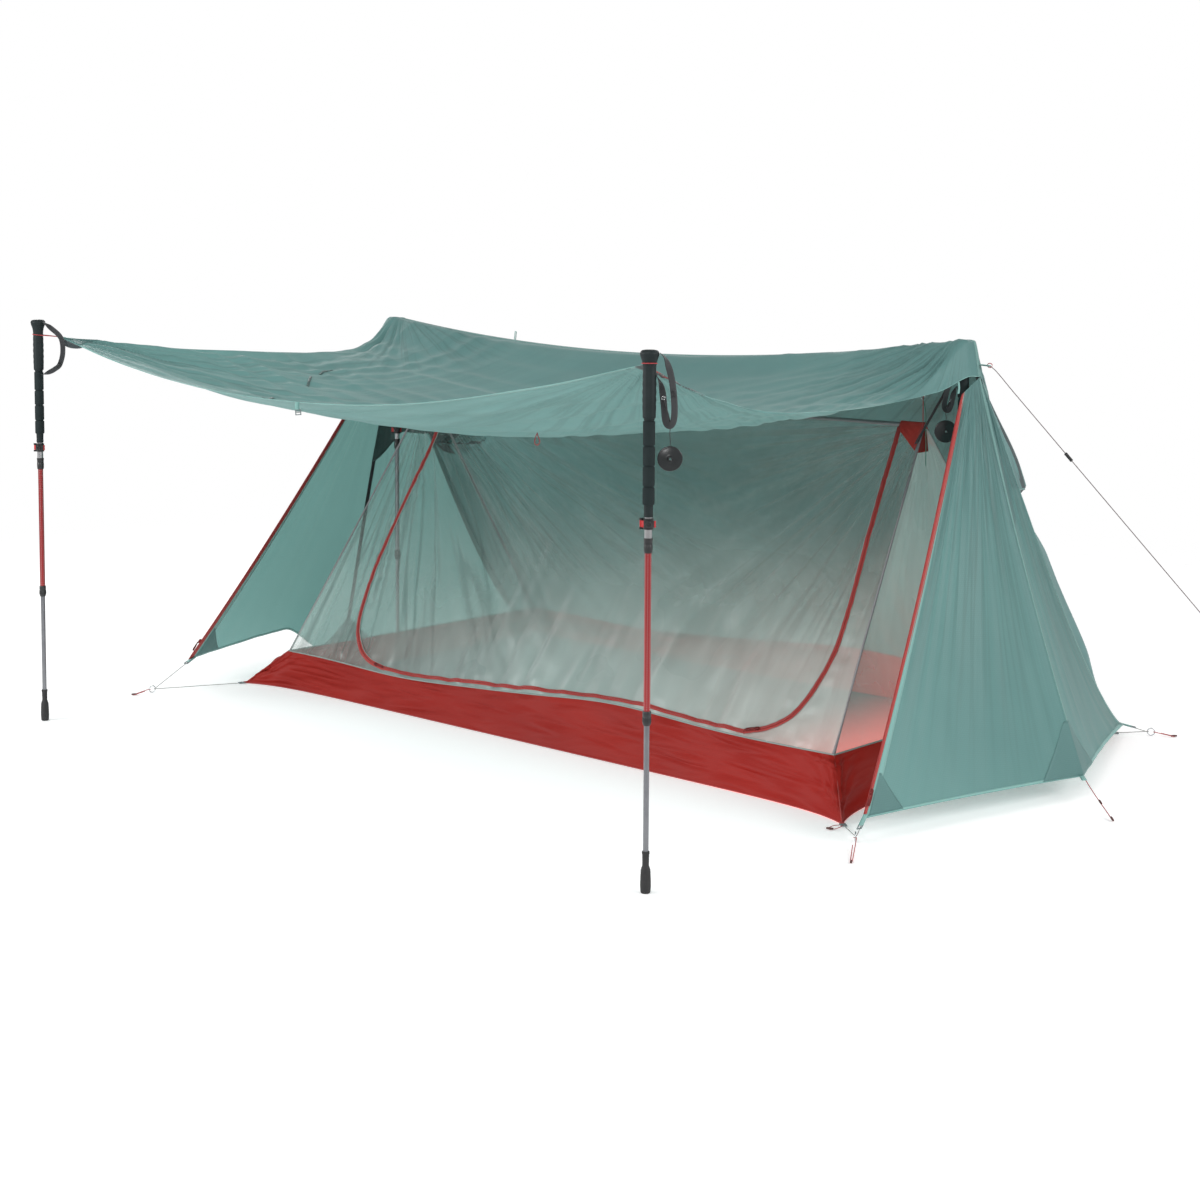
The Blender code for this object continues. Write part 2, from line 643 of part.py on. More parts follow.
def trekking_pole(tag, x, y, top):
    place = (x, y, top)
    ground = -top
    socket = UPPER_R + GAP
    grip = [(0.0, 0.0), (CAP_R * 0.62, -0.0005), (CAP_R * 0.93, -0.003), (CAP_R, -0.007),
            (CAP_R * 0.96, -0.012), (GRIP_R + 0.0014, -0.020), (GRIP_R - 0.0006, -0.040),
            (GRIP_R + 0.0004, -0.085), (GRIP_R - 0.0002, -0.138), (FOAM_R - 0.0012, -0.144),
            (FOAM_R, -0.149)]
    for groove in (0.2005, 0.2424, 0.2859):
        grip += [(FOAM_R, -groove + 0.003), (FOAM_R - 0.0014, -groove), (FOAM_R, -groove - 0.003)]
    grip += [(FOAM_R, -GRIP_DEPTH + 0.026), (UPPER_R + 0.0016, -GRIP_DEPTH + 0.020),
             (UPPER_R + 0.0011, -GRIP_DEPTH), (socket, -GRIP_DEPTH), (socket, -0.020), (0.0, -0.020)]
    turned("pole_" + tag + "_grip", grip, grip_foam, place, 16)

    bore = MIDDLE_R + SLIDE_FIT
    clamp_top = -CLAMP_DROP
    upper = [(UPPER_R, -0.020 - GAP), (UPPER_R, clamp_top), (CLAMP_R, clamp_top),
             (CLAMP_R, clamp_top - CLAMP_H), (UPPER_R, clamp_top - CLAMP_H), (UPPER_R, -BUSH_DROP),
             (BUSH_R, -BUSH_DROP), (BUSH_R - 0.0006, -BUSH_END_DROP), (bore, -BUSH_END_DROP),
             (bore, -0.020 - GAP)]
    tube = turned("pole_" + tag + "_upper_tube", upper, black_plastic, place, 16)
    px = PIVOT_R * math.cos(LEVER_TURN)
    py = PIVOT_R * math.sin(LEVER_TURN)
    for k, (low, high) in enumerate(((-CLAMP_H, -CLAMP_H + 0.0045), (-0.0045, 0.0))):
        ear_name = "ear_" + tag + "_" + str(k)
        lug_outline = circle(px, py, 0.0046, 12)
        lug = rounded_bar(ear_name, lug_outline, clamp_top + low, clamp_top + high, black_plastic, place)
        join(tube, lug)

    band_low = clamp_top - CLAMP_H + 0.0045 + GAP
    band_high = clamp_top - 0.0045 - GAP
    inner = CLAMP_R + 0.0006
    outer = inner + 0.0030
    arc = []
    for k in range(13):
        turn = LEVER_TURN + math.radians(8.0 + 152.0 * k / 12.0)
        arc.append((outer * math.cos(turn), outer * math.sin(turn)))
    turn = LEVER_TURN + math.radians(170.0)
    arc.append(((outer + 0.0026) * math.cos(turn), (outer + 0.0026) * math.sin(turn)))
    arc.append(((outer + 0.0012) * math.cos(turn), (outer + 0.0012) * math.sin(turn)))
    for k in range(12, -1, -1):
        turn = LEVER_TURN + math.radians(8.0 + 152.0 * k / 12.0)
        arc.append((inner * math.cos(turn), inner * math.sin(turn)))
    lever_place = (x + px, y + py, top)
    shifted = [(a - px, b - py) for a, b in arc]
    lever = rounded_bar("pole_" + tag + "_lever", shifted, band_low, band_high, red_plastic, lever_place)
    pivot = circle(0.0, 0.0, 0.0034, 12)
    knuckle = rounded_bar("knuckle_" + tag, pivot, band_low + 0.0002, band_high - 0.0002, red_plastic,
                          lever_place)
    join(lever, knuckle)

    narrow = LOWER_R + SLIDE_FIT
    lock_low = -LOCK_TOP_DROP - LOCK_H
    middle_top = -BUSH_END_DROP + MIDDLE_HIDDEN
    middle = [(MIDDLE_R, middle_top), (MIDDLE_R, -LOCK_TOP_DROP), (LOCK_R - 0.0008, -LOCK_TOP_DROP),
              (LOCK_R, -LOCK_TOP_DROP - 0.003), (LOCK_R, lock_low + 0.004), (LOCK_R - 0.0012, lock_low),
              (narrow, lock_low), (narrow, middle_top)]
    turned("pole_" + tag + "_middle_tube", middle, red_tube, place, 16)

    lower_top = lock_low + LOWER_HIDDEN
    seat = ground + FOOT_H - 0.060
    lower = [(LOWER_R, lower_top), (LOWER_R, seat + GAP), (LOWER_R - TUBE_WALL, seat + GAP),
             (LOWER_R - TUBE_WALL, lower_top)]
    turned("pole_" + tag + "_lower_tube", lower, grey_tube, place, 16)

    hole = LOWER_R + GAP
    foot = [(0.0, seat), (hole, seat), (hole, ground + FOOT_H), (0.0082, ground + FOOT_H),
            (0.0070, ground + 0.058), (0.0106, ground + 0.049), (FOOT_R, ground + 0.022),
            (0.0100, ground), (0.0, ground)]
    turned("pole_" + tag + "_foot", foot, foot_rubber, place, 16)


ridge_pole_top = PEAK_Z + 2.0 * GAP
RIDGE_POLE_Y = -0.5 * CAP_DEPTH
trekking_pole("front_right", FRONT_POLE_X, FRONT_POLE_Y, FRONT_POLE_TOP)
trekking_pole("front_left", -FRONT_POLE_X, FRONT_POLE_Y, FRONT_POLE_TOP)
trekking_pole("ridge_right", RIDGE_HALF, RIDGE_POLE_Y, ridge_pole_top)
trekking_pole("ridge_left", -RIDGE_HALF, RIDGE_POLE_Y, ridge_pole_top)


# Straps, baskets and the cords that hold the cloth

SIGHT_RIGHT = Vector((math.cos(math.radians(43.0)), math.sin(math.radians(43.0)), 0.0))
SIGHT_NEAR = Vector((math.sin(math.radians(43.0)), -math.cos(math.radians(43.0)), 0.0))


def strap(name, x, y, top, route, width, finish, near=0.0):
    # A webbing band beside a pole: its route is (distance to the right, drop below the pole's top).
    base = Vector((x, y, 0.0)) + SIGHT_NEAR * near
    knots = [base + SIGHT_RIGHT * along + Vector((0.0, 0.0, top - drop)) for along, drop in route]
    line = smooth_route(knots, 13)
    return ribbon(name, line, SIGHT_NEAR * width * 0.5, TAPE, finish)


STRAP_WIDTH = 0.014
strap("strap_front_right", FRONT_POLE_X, FRONT_POLE_Y, FRONT_POLE_TOP,
      [(CAP_R + TAPE - GAP, 0.0070), (0.034, 0.0210), (0.046, 0.0610), (0.052, 0.1110),
       (0.051, 0.1460), (0.043, 0.1590), (0.034, 0.1480), (0.030, 0.1110), (0.025, 0.0760),
       (GRIP_R + GAP, 0.0530)], STRAP_WIDTH, webbing)
strap("strap_front_left", -FRONT_POLE_X, FRONT_POLE_Y, FRONT_POLE_TOP,
      [(0.0194, 0.0070), (0.040, 0.0230), (0.068, 0.0510), (0.073, 0.0910), (0.064, 0.1260),
       (0.050, 0.1390), (0.036, 0.1470), (0.022, 0.1530), (0.0115, 0.1550)], STRAP_WIDTH, webbing, 0.016)
strap("strap_ridge_right", RIDGE_HALF, RIDGE_POLE_Y, ridge_pole_top,
      [(-GRIP_R - 2.0 * GAP, 0.0666), (-0.026, 0.0816), (-0.038, 0.1116), (-0.046, 0.1516),
       (-0.047, 0.1686), (-0.040, 0.1766), (-0.032, 0.1686), (-0.026, 0.1416), (-0.020, 0.1216),
       (-GRIP_R - TAPE - GAP, 0.1146)], STRAP_WIDTH, webbing)


def basket(name, middle, top, radius, finish):
    # A trekking basket hanging on edge from its own elastic thread.
    rim = radius
    profile = [(0.0, 0.0030), (0.0060, 0.0030), (0.0068, 0.0008), (rim * 0.62, 0.0004), (rim, -0.0020),
               (rim - 0.0006, -0.0032), (rim * 0.6, -0.0010), (0.0070, -0.0008), (0.0060, -0.0050),
               (0.0, -0.0050)]
    disc = turned(name, profile, finish, tuple(middle), 18)
    disc.rotation_euler = (math.radians(90.0), 0.0, math.radians(43.0))
    bpy.context.view_layer.update()
    strand = circle(0.0, 0.0, 0.0009, 6)
    thread = rounded_bar(name + "_thread", strand, middle.z + rim - 0.0015, top, finish,
                         (middle.x, middle.y, 0.0))
    thread.location += SIGHT_NEAR * 0.0026 * -1.0
    join(disc, thread)
    return disc


def beside(x, y, top, along, drop):
    return Vector((x, y, top)) + SIGHT_RIGHT * along - Vector((0.0, 0.0, drop))


front_basket = beside(FRONT_POLE_X, FRONT_POLE_Y, FRONT_POLE_TOP, 0.0440, 0.2270)
ridge_basket = beside(RIDGE_HALF, RIDGE_POLE_Y, ridge_pole_top, -0.0420, 0.2306)
basket("basket_front_right", front_basket, FRONT_POLE_TOP - 0.1595, 0.0265, black_plastic)
basket("basket_ridge_right", ridge_basket, ridge_pole_top - 0.1741, 0.0290, black_plastic)


def awning_loop(side, sign):
    # The cord loop that holds an awning corner to the pole's handle.
    pole = Vector((sign * FRONT_POLE_X, FRONT_POLE_Y, LOOP_Z if sign > 0 else LOOP_LEFT_Z))
    corner = awning_corner(sign) + Vector((0.0, 0.0, 0.5 * CLOTH))
    toward = corner - pole
    reach = toward.length
    ahead = toward.normalized()
    aside = Vector((-ahead.y, ahead.x, 0.0)).normalized()
    up = ahead.cross(aside)
    hold = GRIP_R + 0.030 * (0.048 - FRONT_POLE_TOP + pole.z) + CORD_R + GAP
    points = []
    for k in range(13):
        turn = math.radians(70.0 + 220.0 * k / 12.0)
        points.append(pole + ahead * hold * math.cos(turn) + aside * hold * math.sin(turn))
    tip = reach - CORD_R - GAP
    for share, half in ((0.45, 0.0105), (0.72, 0.0062), (0.92, 0.0030)):
        points.append(pole + ahead * tip * share - aside * half)
    points.append(pole + ahead * tip)
    for share, half in ((0.92, 0.0030), (0.72, 0.0062), (0.45, 0.0105)):
        points.append(pole + ahead * tip * share + aside * half)
    return cord("awning_loop_" + side, points, CORD_R, cord_red, True)


awning_loop("right", 1.0)
awning_loop("left", -1.0)

wrap = RING_WIRE + CORD_R + GAP


def corner_rig(tag, floor_at, fly_at, ring_at, peg_at):
    # A steel ring joins the floor's and the flysheet's corner lines to the peg loop.
    pull = Vector((peg_at.x - ring_at.x, peg_at.y - ring_at.y, 0.0)).normalized()
    side = Vector((-pull.y, pull.x, 0.0))
    if (fly_at - ring_at).dot(side) < 0.0:
        side = -side
    wire = []
    for k in range(6):
        turn = -2.0 * math.pi * k / 6.0
        wire.append((RING_R + RING_WIRE * math.cos(turn), RING_WIRE * math.sin(turn)))
    ring = turned("ring_" + tag, wire, steel, tuple(ring_at), 14)
    ring.rotation_euler = (math.radians(90.0), 0.0, math.atan2(pull.y, pull.x))
    near = ring_at - pull * RING_R
    points = [floor_at]
    for share in (0.35, 0.7, 0.93):
        points.append(floor_at.lerp(near - side * wrap, share))
    for degrees in (90.0, 50.0, 0.0, -50.0, -90.0):
        turn = math.radians(degrees)
        points.append(near - side * wrap * math.sin(turn) + pull * wrap * math.cos(turn))
    for share in (0.93, 0.7, 0.35):
        points.append(fly_at.lerp(near + side * wrap, share))
    points.append(fly_at)
    cord("corner_line_" + tag, points, CORD_R, cord_pale)
    far = ring_at + pull * RING_R
    loop = []
    for degrees in (-90.0, -45.0, 0.0, 45.0, 90.0):
        turn = math.radians(degrees)
        loop.append(far + side * wrap * math.sin(turn) - pull * wrap * math.cos(turn))
    for share, half in ((0.3, 0.0030), (0.65, 0.0026), (0.92, 0.0022)):
        loop.append(far.lerp(peg_at, share) + side * half)
    loop.append(peg_at)
    for share, half in ((0.92, 0.0022), (0.65, 0.0026), (0.3, 0.0030)):
        loop.append(far.lerp(peg_at, share) - side * half)
    cord("peg_loop_" + tag, loop, CORD_R, cord_red, True)


RING_Z = RING_R + RING_WIRE + 0.0004
PEG_Z = CORD_R + 0.0002
EAR = 0.0004

corner_rig("front_right", Vector((TUB_X + EAR, TUB_FRONT - EAR, 0.0016)),
           Vector((FRONT_FOOT.x - 0.002, FRONT_FOOT.y - 0.004, FRONT_FOOT.z - 0.0006)),
           Vector((TUB_X + 0.1048, TUB_FRONT - 0.0940, RING_Z)),
           Vector((TUB_X + 0.1977, TUB_FRONT - 0.2409, PEG_Z)))
left_foot_z = FRONT_FOOT.z + 0.35 * LEFT_HEM_LIFT
corner_rig("front_left", Vector((-TUB_X - EAR, TUB_FRONT - EAR, 0.0016)),
           Vector((-FRONT_FOOT.x + 0.002, FRONT_FOOT.y - 0.004, left_foot_z - 0.0014)),
           Vector((-TUB_X - 0.0893, TUB_FRONT - 0.2856, RING_Z)),
           Vector((-TUB_X - 0.1004, TUB_FRONT - 0.3483, PEG_Z)))
corner_rig("rear_right", Vector((TUB_X + EAR, TUB_REAR + EAR, 0.0016)),
           Vector((REAR_FOOT.x + 0.0017, REAR_FOOT.y + 0.0017, REAR_FOOT.z)),
           Vector((TUB_X + 0.0945, TUB_REAR + 0.0534, RING_Z)),
           Vector((TUB_X + 0.1501, TUB_REAR + 0.0892, PEG_Z)))

end_start = END_FOOT + Vector((0.0019, -0.0030, -0.0002))
end_peg = Vector((END_FOOT.x + 0.1595, END_FOOT.y - 0.1412, PEG_Z))
end_points = []
for k in range(10):
    share = k / 9.0
    slack = 0.004 * math.sin(math.pi * share) * (1.0 - share)
    end_points.append(end_start.lerp(end_peg, share) - Vector((0.0, 0.0, slack)))
cord("end_line_right", end_points, CORD_R, cord_red)


# Ridge guyline with its line tightener

run = (GUY_END - GUY_START).normalized()
guy_knots = [GUY_ROOT, GUY_ROOT + Vector((0.012, 0.0, 0.0005)), GUY_START, GUY_START + run * 0.08]
guy_line = smooth_route(guy_knots, 9)
guy_line += [GUY_START.lerp(GUY_END, share) for share in (0.3, 0.5, 0.7, 0.9, 1.0)]
bend = Vector((run.z, 0.0, -run.x))
for k in range(1, 11):
    turn = 2.0 * math.pi * k / 12.0
    guy_line.append(GUY_END + run * 0.016 * math.sin(turn) * 1.4 + bend * 0.010 * (1.0 - math.cos(turn)))
cord("guyline_ridge", guy_line, CORD_R, cord_pale)

hole = CORD_R + 2.0 * GAP
half = 0.5 * TIGHTENER_LENGTH
tightener_at = GUY_START + run * (GUY_TIGHTENER - GUY_START).length
barrel = [(TIGHTENER_R - 0.0012, half), (TIGHTENER_R, half - 0.003), (TIGHTENER_R, -half + 0.003),
          (TIGHTENER_R - 0.0012, -half), (hole, -half), (hole, half)]
tight = turned("line_tightener", barrel, black_plastic, tuple(tightener_at), 12)
tight.rotation_euler = (0.0, math.atan2(run.x, run.z), 0.0)


# The inner tent hangs from the ridge pole and from the ridge itself.

hang_x = INNER_HALF - 0.006
hang_start = Vector((hang_x, -0.0008, INNER_Z + 0.0070))
hang_end = Vector((hang_x, -0.0045, ridge_height(hang_x) - GAP))
cord("apex_cord_right", [hang_start.lerp(hang_end, k / 5.0) for k in range(6)], CORD_R, cord_red)

hang_low = Vector((INNER_HALF + 0.0014, -0.0428, INNER_Z - 0.047))
hang_high = Vector((RIDGE_HALF - GRIP_R - 3.0 * GAP, -0.020, ridge_pole_top - 0.0666))
hang = [hang_low.lerp(hang_high, k / 4.0) for k in range(5)]
ribbon("apex_strap_right", hang, Vector((0.0, 0.006, 0.0)), TAPE, webbing)
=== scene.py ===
import math

import bmesh
import bpy
from mathutils import Matrix, Quaternion, Vector, noise


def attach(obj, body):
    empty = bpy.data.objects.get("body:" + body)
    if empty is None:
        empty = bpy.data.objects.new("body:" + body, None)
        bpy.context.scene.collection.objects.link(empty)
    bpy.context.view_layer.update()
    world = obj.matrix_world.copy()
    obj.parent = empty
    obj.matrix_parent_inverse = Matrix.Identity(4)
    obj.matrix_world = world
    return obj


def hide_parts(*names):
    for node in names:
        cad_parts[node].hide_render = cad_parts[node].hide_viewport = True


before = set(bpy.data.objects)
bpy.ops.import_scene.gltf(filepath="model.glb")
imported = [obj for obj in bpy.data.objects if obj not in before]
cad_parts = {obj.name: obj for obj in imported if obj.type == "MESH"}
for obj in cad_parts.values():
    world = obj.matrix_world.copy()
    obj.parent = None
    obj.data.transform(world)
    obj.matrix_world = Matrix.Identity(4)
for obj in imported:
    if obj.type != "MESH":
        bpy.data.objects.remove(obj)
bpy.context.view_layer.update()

# Camera, floor and light
# The tent stands on a plain pale studio floor and is seen from its front right corner, at eye height.
# One wide soft lamp above the awning and an even pale surround light it.
VIEW_FROM = Vector((3.953707, -4.543553, 1.360993))
VIEW_TURN = 0.754096
VIEW_DROP = 0.088427
VIEW_ROLL = 0.004635
LENS_PIXELS = 2065.61
FRAME_PIXELS = 1200.0
CENTRE_X = 571.79
CENTRE_Y = 430.45

scene = bpy.context.scene
scene.view_settings.view_transform = "Standard"
lens = bpy.data.cameras.new("tent_camera")
lens.sensor_width = 36.0
lens.lens = LENS_PIXELS * 36.0 / FRAME_PIXELS
lens.shift_x = (0.5 * FRAME_PIXELS - CENTRE_X) / FRAME_PIXELS
lens.shift_y = (CENTRE_Y - 0.5 * FRAME_PIXELS) / FRAME_PIXELS
lens.clip_end = 100.0
camera = bpy.data.objects.new("tent_camera", lens)
scene.collection.objects.link(camera)
camera.location = VIEW_FROM
look = Vector((-math.sin(VIEW_TURN) * math.cos(VIEW_DROP), math.cos(VIEW_TURN) * math.cos(VIEW_DROP),
               -math.sin(VIEW_DROP)))
camera.rotation_mode = "QUATERNION"
camera.rotation_quaternion = look.to_track_quat("-Z", "Y") @ Quaternion((0.0, 0.0, 1.0), VIEW_ROLL)
scene.camera = camera



def node(tree, kind, **values):
    made = tree.nodes.new(kind)
    for key, value in values.items():
        setattr(made, key, value)
    return made


def feed(tree, made, **values):
    # Feeds a node's inputs, by name, with plain values or with other nodes' outputs.
    for key, value in values.items():
        socket = made.inputs[key.replace("_", " ")]
        if isinstance(value, bpy.types.NodeSocket):
            tree.links.new(value, socket)
        else:
            socket.default_value = (*value, 1.0) if socket.type == "RGBA" else value
    return made


def in_turn(tree, made, *values):
    # Feeds a node's inputs in their order, and gives its first output.
    for socket, value in zip(made.inputs, values):
        if isinstance(value, (int, float)):
            socket.default_value = value
        else:
            tree.links.new(value, socket)
    return made.outputs[0]


def noisy(tree, place, kind="FBM", **values):
    # Noise over a place.
    return feed(tree, node(tree, "ShaderNodeTexNoise", noise_type=kind), Vector=place, **values).outputs["Fac"]


def split(tree, place):
    return feed(tree, node(tree, "ShaderNodeSeparateXYZ"), Vector=place).outputs


def math_node(tree, operation, *values):
    return in_turn(tree, node(tree, "ShaderNodeMath", operation=operation), *values)


def shader_mix(tree, share, first, second):
    return in_turn(tree, node(tree, "ShaderNodeMixShader"), share, first, second)


def ranged(tree, value, low, high, to_low=0.0, to_high=1.0, way="SMOOTHSTEP"):
    # A value carried over from one range to another.
    made = node(tree, "ShaderNodeMapRange", interpolation_type=way)
    for label, number in (("From Min", low), ("From Max", high), ("To Min", to_low), ("To Max", to_high)):
        made.inputs[label].default_value = number
    tree.links.new(value, made.inputs["Value"])
    return made.outputs["Result"]


def object_place(tree):
    return node(tree, "ShaderNodeTexCoord").outputs["Object"]


UP = Vector((0.0, 0.0, 1.0))


WHITE = (1.0, 1.0, 1.0)
world = bpy.data.worlds.new("studio")
scene.world = world
world.use_nodes = True
air = world.node_tree
surround = feed(air, air.nodes["Background"], Color=WHITE, Strength=0.44)
seen = feed(air, node(air, "ShaderNodeBackground"), Color=WHITE, Strength=1.0)
path = node(air, "ShaderNodeLightPath")
straight = math_node(air, "MAXIMUM", path.outputs["Is Camera Ray"], path.outputs["Is Transmission Ray"])
feed(air, air.nodes["World Output"], Surface=shader_mix(air, straight, surround.outputs[0], seen.outputs[0]))


def lamp(name, place, target, size, power):
    light = bpy.data.lights.new(name, "AREA")
    light.shape = "RECTANGLE"
    light.size, light.size_y = size
    light.energy = power
    held = bpy.data.objects.new(name, light)
    held.location = place
    held.visible_camera = False
    held.rotation_mode = "QUATERNION"
    held.rotation_quaternion = (Vector(target) - Vector(place)).to_track_quat("-Z", "Y")
    scene.collection.objects.link(held)


lamp("lamp_key", (1.2, -4.2, 4.6), (0.0, -0.4, 0.5), (3.0, 2.0), 62.0)
lamp("lamp_front_right", (3.2, -5.0, 2.2), (-0.2, 0.0, 0.4), (1.6, 0.8), 50.0)
lamp("lamp_front_left", (-2.4, -5.0, 2.1), (0.5, 0.0, 0.3), (1.6, 0.8), 134.0)
lamp("lamp_right", (5.2, 0.2, 2.4), (1.2, 0.0, 0.5), (3.0, 2.0), 115.0)
lamp("lamp_left", (-5.0, 0.8, 2.2), (-1.2, 0.2, 0.5), (3.0, 2.0), 90.0)
lamp("lamp_rear", (0.3, 4.2, 3.2), (0.0, 0.3, 0.5), (5.0, 2.5), 52.0)

bpy.ops.object.select_all(action="DESELECT")
bpy.ops.mesh.primitive_grid_add(x_subdivisions=8, y_subdivisions=8, size=16.0, location=(0.0, 0.0, -0.0006))
floor = bpy.context.object
floor.name = "studio_floor"
bpy.ops.object.transform_apply(location=True, rotation=True, scale=True)


def dress(finish, **values):
    # Feeds the shader of a finish.
    return feed(finish.node_tree, finish.node_tree.nodes["Principled BSDF"], **values)


floor_finish = bpy.data.materials.new("studio_floor")
floor_finish.use_nodes = True
floor_tree = floor_finish.node_tree
reach = node(floor_tree, "ShaderNodeVectorMath", operation="LENGTH")
floor_tree.links.new(object_place(floor_tree), reach.inputs[0])
dress(floor_finish, Base_Color=(0.93, 0.93, 0.93), Roughness=0.9, Specular_IOR_Level=0.1, Emission_Color=WHITE,
      Emission_Strength=0.20, Alpha=ranged(floor_tree, reach.outputs["Value"], 2.0, 4.6, 1.0, 0.0))
floor.data.materials.append(floor_finish)

# Cords, rings and the line tightener
# Thin braided cord guys the ridge and ties three corners of the floor and flysheet, each to a steel ring.
# A loop of red cord runs from each ring to the peg. The ridge guyline carries a black line tightener.
CORD_R = 0.0011
LINE_GAP = 0.0003


def noise_at(x, y, z=0.0):
    return noise.noise(Vector((x, y, z)))


def smooth(t):
    t = min(1.0, max(0.0, t))
    return t * t * (3.0 - 2.0 * t)


def steps(low, high, count):
    return [low + (high - low) * k / count for k in range(count + 1)]


def full_turn(count, way=1.0):
    return [way * 2.0 * math.pi * k / count for k in range(count)]


def runs_along(points):
    # The length of the way from the first point to each.
    runs = [0.0]
    for a, b in zip(points, points[1:]):
        runs.append(runs[-1] + (b - a).length)
    return runs


def smooth_route(knots, count):
    # A smooth curve through the route's own points, read at even steps.
    ends = [2 * knots[0] - knots[1]] + list(knots) + [2 * knots[-1] - knots[-2]]
    fine = []
    for i in range(1, len(ends) - 2):
        a, b, c, d = ends[i - 1], ends[i], ends[i + 1], ends[i + 2]
        for k in range(40):
            t = k / 40.0
            fine.append(0.5 * (2 * b + (c - a) * t + (2 * a - 5 * b + 4 * c - d) * t * t
                               + (3 * b - a - 3 * c + d) * t ** 3))
    fine.append(knots[-1])
    lengths = runs_along(fine)
    route = []
    at = 0
    for k in range(count):
        want = lengths[-1] * k / (count - 1)
        while at < len(fine) - 2 and lengths[at + 1] < want:
            at += 1
        span = max(1e-9, lengths[at + 1] - lengths[at])
        route.append(fine[at].lerp(fine[at + 1], (want - lengths[at]) / span))
    return route


def held(piece, slot_name, body="tent", stands_for=None):
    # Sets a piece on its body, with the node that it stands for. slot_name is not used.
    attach(piece, body)
    if stands_for:
        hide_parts(stands_for)
    return piece


def put(name, data, finish, slot_name, stands_for=None):
    # Makes a piece of the tent from a mesh or a curve.
    made = bpy.data.objects.new(name, data)
    scene.collection.objects.link(made)
    data.materials.append(finish)
    return held(made, slot_name, stands_for=stands_for)


taut_cords = []


def cord_piece(name, points, finish, slot_name, stands_for, far_end=None, on_it=(), closed=False):
    # A round cord along its points. A cord that is pulled taut has a far end, and maybe pieces on it.
    curve = bpy.data.curves.new(name, "CURVE")
    curve.dimensions = "3D"
    spline = curve.splines.new("POLY")
    spline.points.add(len(points) - 1)
    for spot, point in zip(spline.points, points):
        spot.co = (*point, 1.0)
    spline.use_cyclic_u = closed
    curve.bevel_depth = CORD_R
    curve.bevel_resolution = 3
    curve.use_fill_caps = not closed
    made = put(name, curve, finish, slot_name, stands_for)
    if far_end:
        taut_cords.append((made, points, far_end, on_it))


def new_finish(name, colour, roughness, metallic=0.0):
    # A new material, with its nodes and its shader.
    made = bpy.data.materials.new(name)
    made.use_nodes = True
    shader = dress(made, Base_Color=colour, Roughness=roughness, Metallic=metallic)
    return made, made.node_tree, shader


def group_tree(name, inputs, outputs):
    # An empty shader group with its two end nodes. An input whose value is a number takes a number.
    tree = bpy.data.node_groups.new(name, "ShaderNodeTree")
    for label, value in inputs.items():
        kind = "NodeSocketFloat" if isinstance(value, float) else "NodeSocketVector"
        made = tree.interface.new_socket(label, in_out="INPUT", socket_type=kind)
        if value is not None:
            made.default_value = value
    for label in outputs:
        tree.interface.new_socket(label, in_out="OUTPUT", socket_type="NodeSocketFloat")
    return tree, tree.nodes.new("NodeGroupInput").outputs, tree.nodes.new("NodeGroupOutput")


def add_group(tree, group, **values):
    return feed(tree, node(tree, "ShaderNodeGroup", node_tree=group), **values).outputs


def mixed(tree, factor, first, second, blend="MIX"):
    # Two colours, or other nodes' outputs, mixed by a factor.
    made = node(tree, "ShaderNodeMix", data_type="RGBA", blend_type=blend)
    return feed(tree, made, Factor=factor, A=first, B=second).outputs["Result"]


def bumped(tree, height, strength, distance, **below):
    made = feed(tree, node(tree, "ShaderNodeBump"), Strength=strength, Distance=distance, Height=height, **below)
    return made.outputs["Normal"]


# Braid: slanting strands that cross, for cords and webbing.
braid_tree, braid_in, braid_out = group_tree("braid", {"Vector": None, "Scale": 900.0}, ("Height", "Shade"))
other_way = feed(braid_tree, node(braid_tree, "ShaderNodeMapping"), Scale=(-1.0, 1.0, 1.0),
                 Vector=braid_in["Vector"])
waves = []
for way in (braid_in["Vector"], other_way.outputs["Vector"]):
    wave = node(braid_tree, "ShaderNodeTexWave", wave_type="BANDS", bands_direction="DIAGONAL")
    waves.append(feed(braid_tree, wave, Vector=way, Scale=braid_in["Scale"], Distortion=0.3).outputs["Fac"])
strands = math_node(braid_tree, "MAXIMUM", *waves)
feed(braid_tree, braid_out, Height=strands, Shade=math_node(braid_tree, "MULTIPLY_ADD", strands, 0.35, 0.65))


def braided(name, colour, scale=260.0, roughness=0.7):
    made, tree, shader = new_finish(name, colour, roughness)
    strands = add_group(tree, braid_tree, Vector=object_place(tree), Scale=scale)
    feed(tree, shader, Base_Color=mixed(tree, 1.0, colour, strands["Shade"], "MULTIPLY"),
         Normal=bumped(tree, strands["Height"], 0.6, 0.0003))
    return made


pale_cord = braided("pale_cord", (0.34, 0.34, 0.33))
grey_cord = braided("grey_cord", (0.16, 0.125, 0.13))
red_cord = braided("red_cord", (0.42, 0.045, 0.05))

GUY_ROOT = Vector((1.1124, 0.004, 1.066))
GUY_START = Vector((1.150, 0.004, 1.059))
GUY_TIGHTENER = Vector((1.369, 0.004, 0.850))
GUY_END = Vector((1.755, 0.004, 0.480))
guy_run = (GUY_END - GUY_START).normalized()
guy_knots = [GUY_ROOT, GUY_ROOT + Vector((0.012, 0.0, 0.0005)), GUY_START, GUY_START + guy_run * 0.08]
guy_line = smooth_route(guy_knots, 9)
guy_line += [GUY_START.lerp(GUY_END, share) for share in (0.3, 0.5, 0.7, 0.9, 1.0)]
guy_bend = Vector((guy_run.z, 0.0, -guy_run.x))
for k in range(1, 11):
    turn = 2.0 * math.pi * k / 12.0
    guy_line.append(GUY_END + guy_run * 0.0224 * math.sin(turn) + guy_bend * 0.010 * (1.0 - math.cos(turn)))
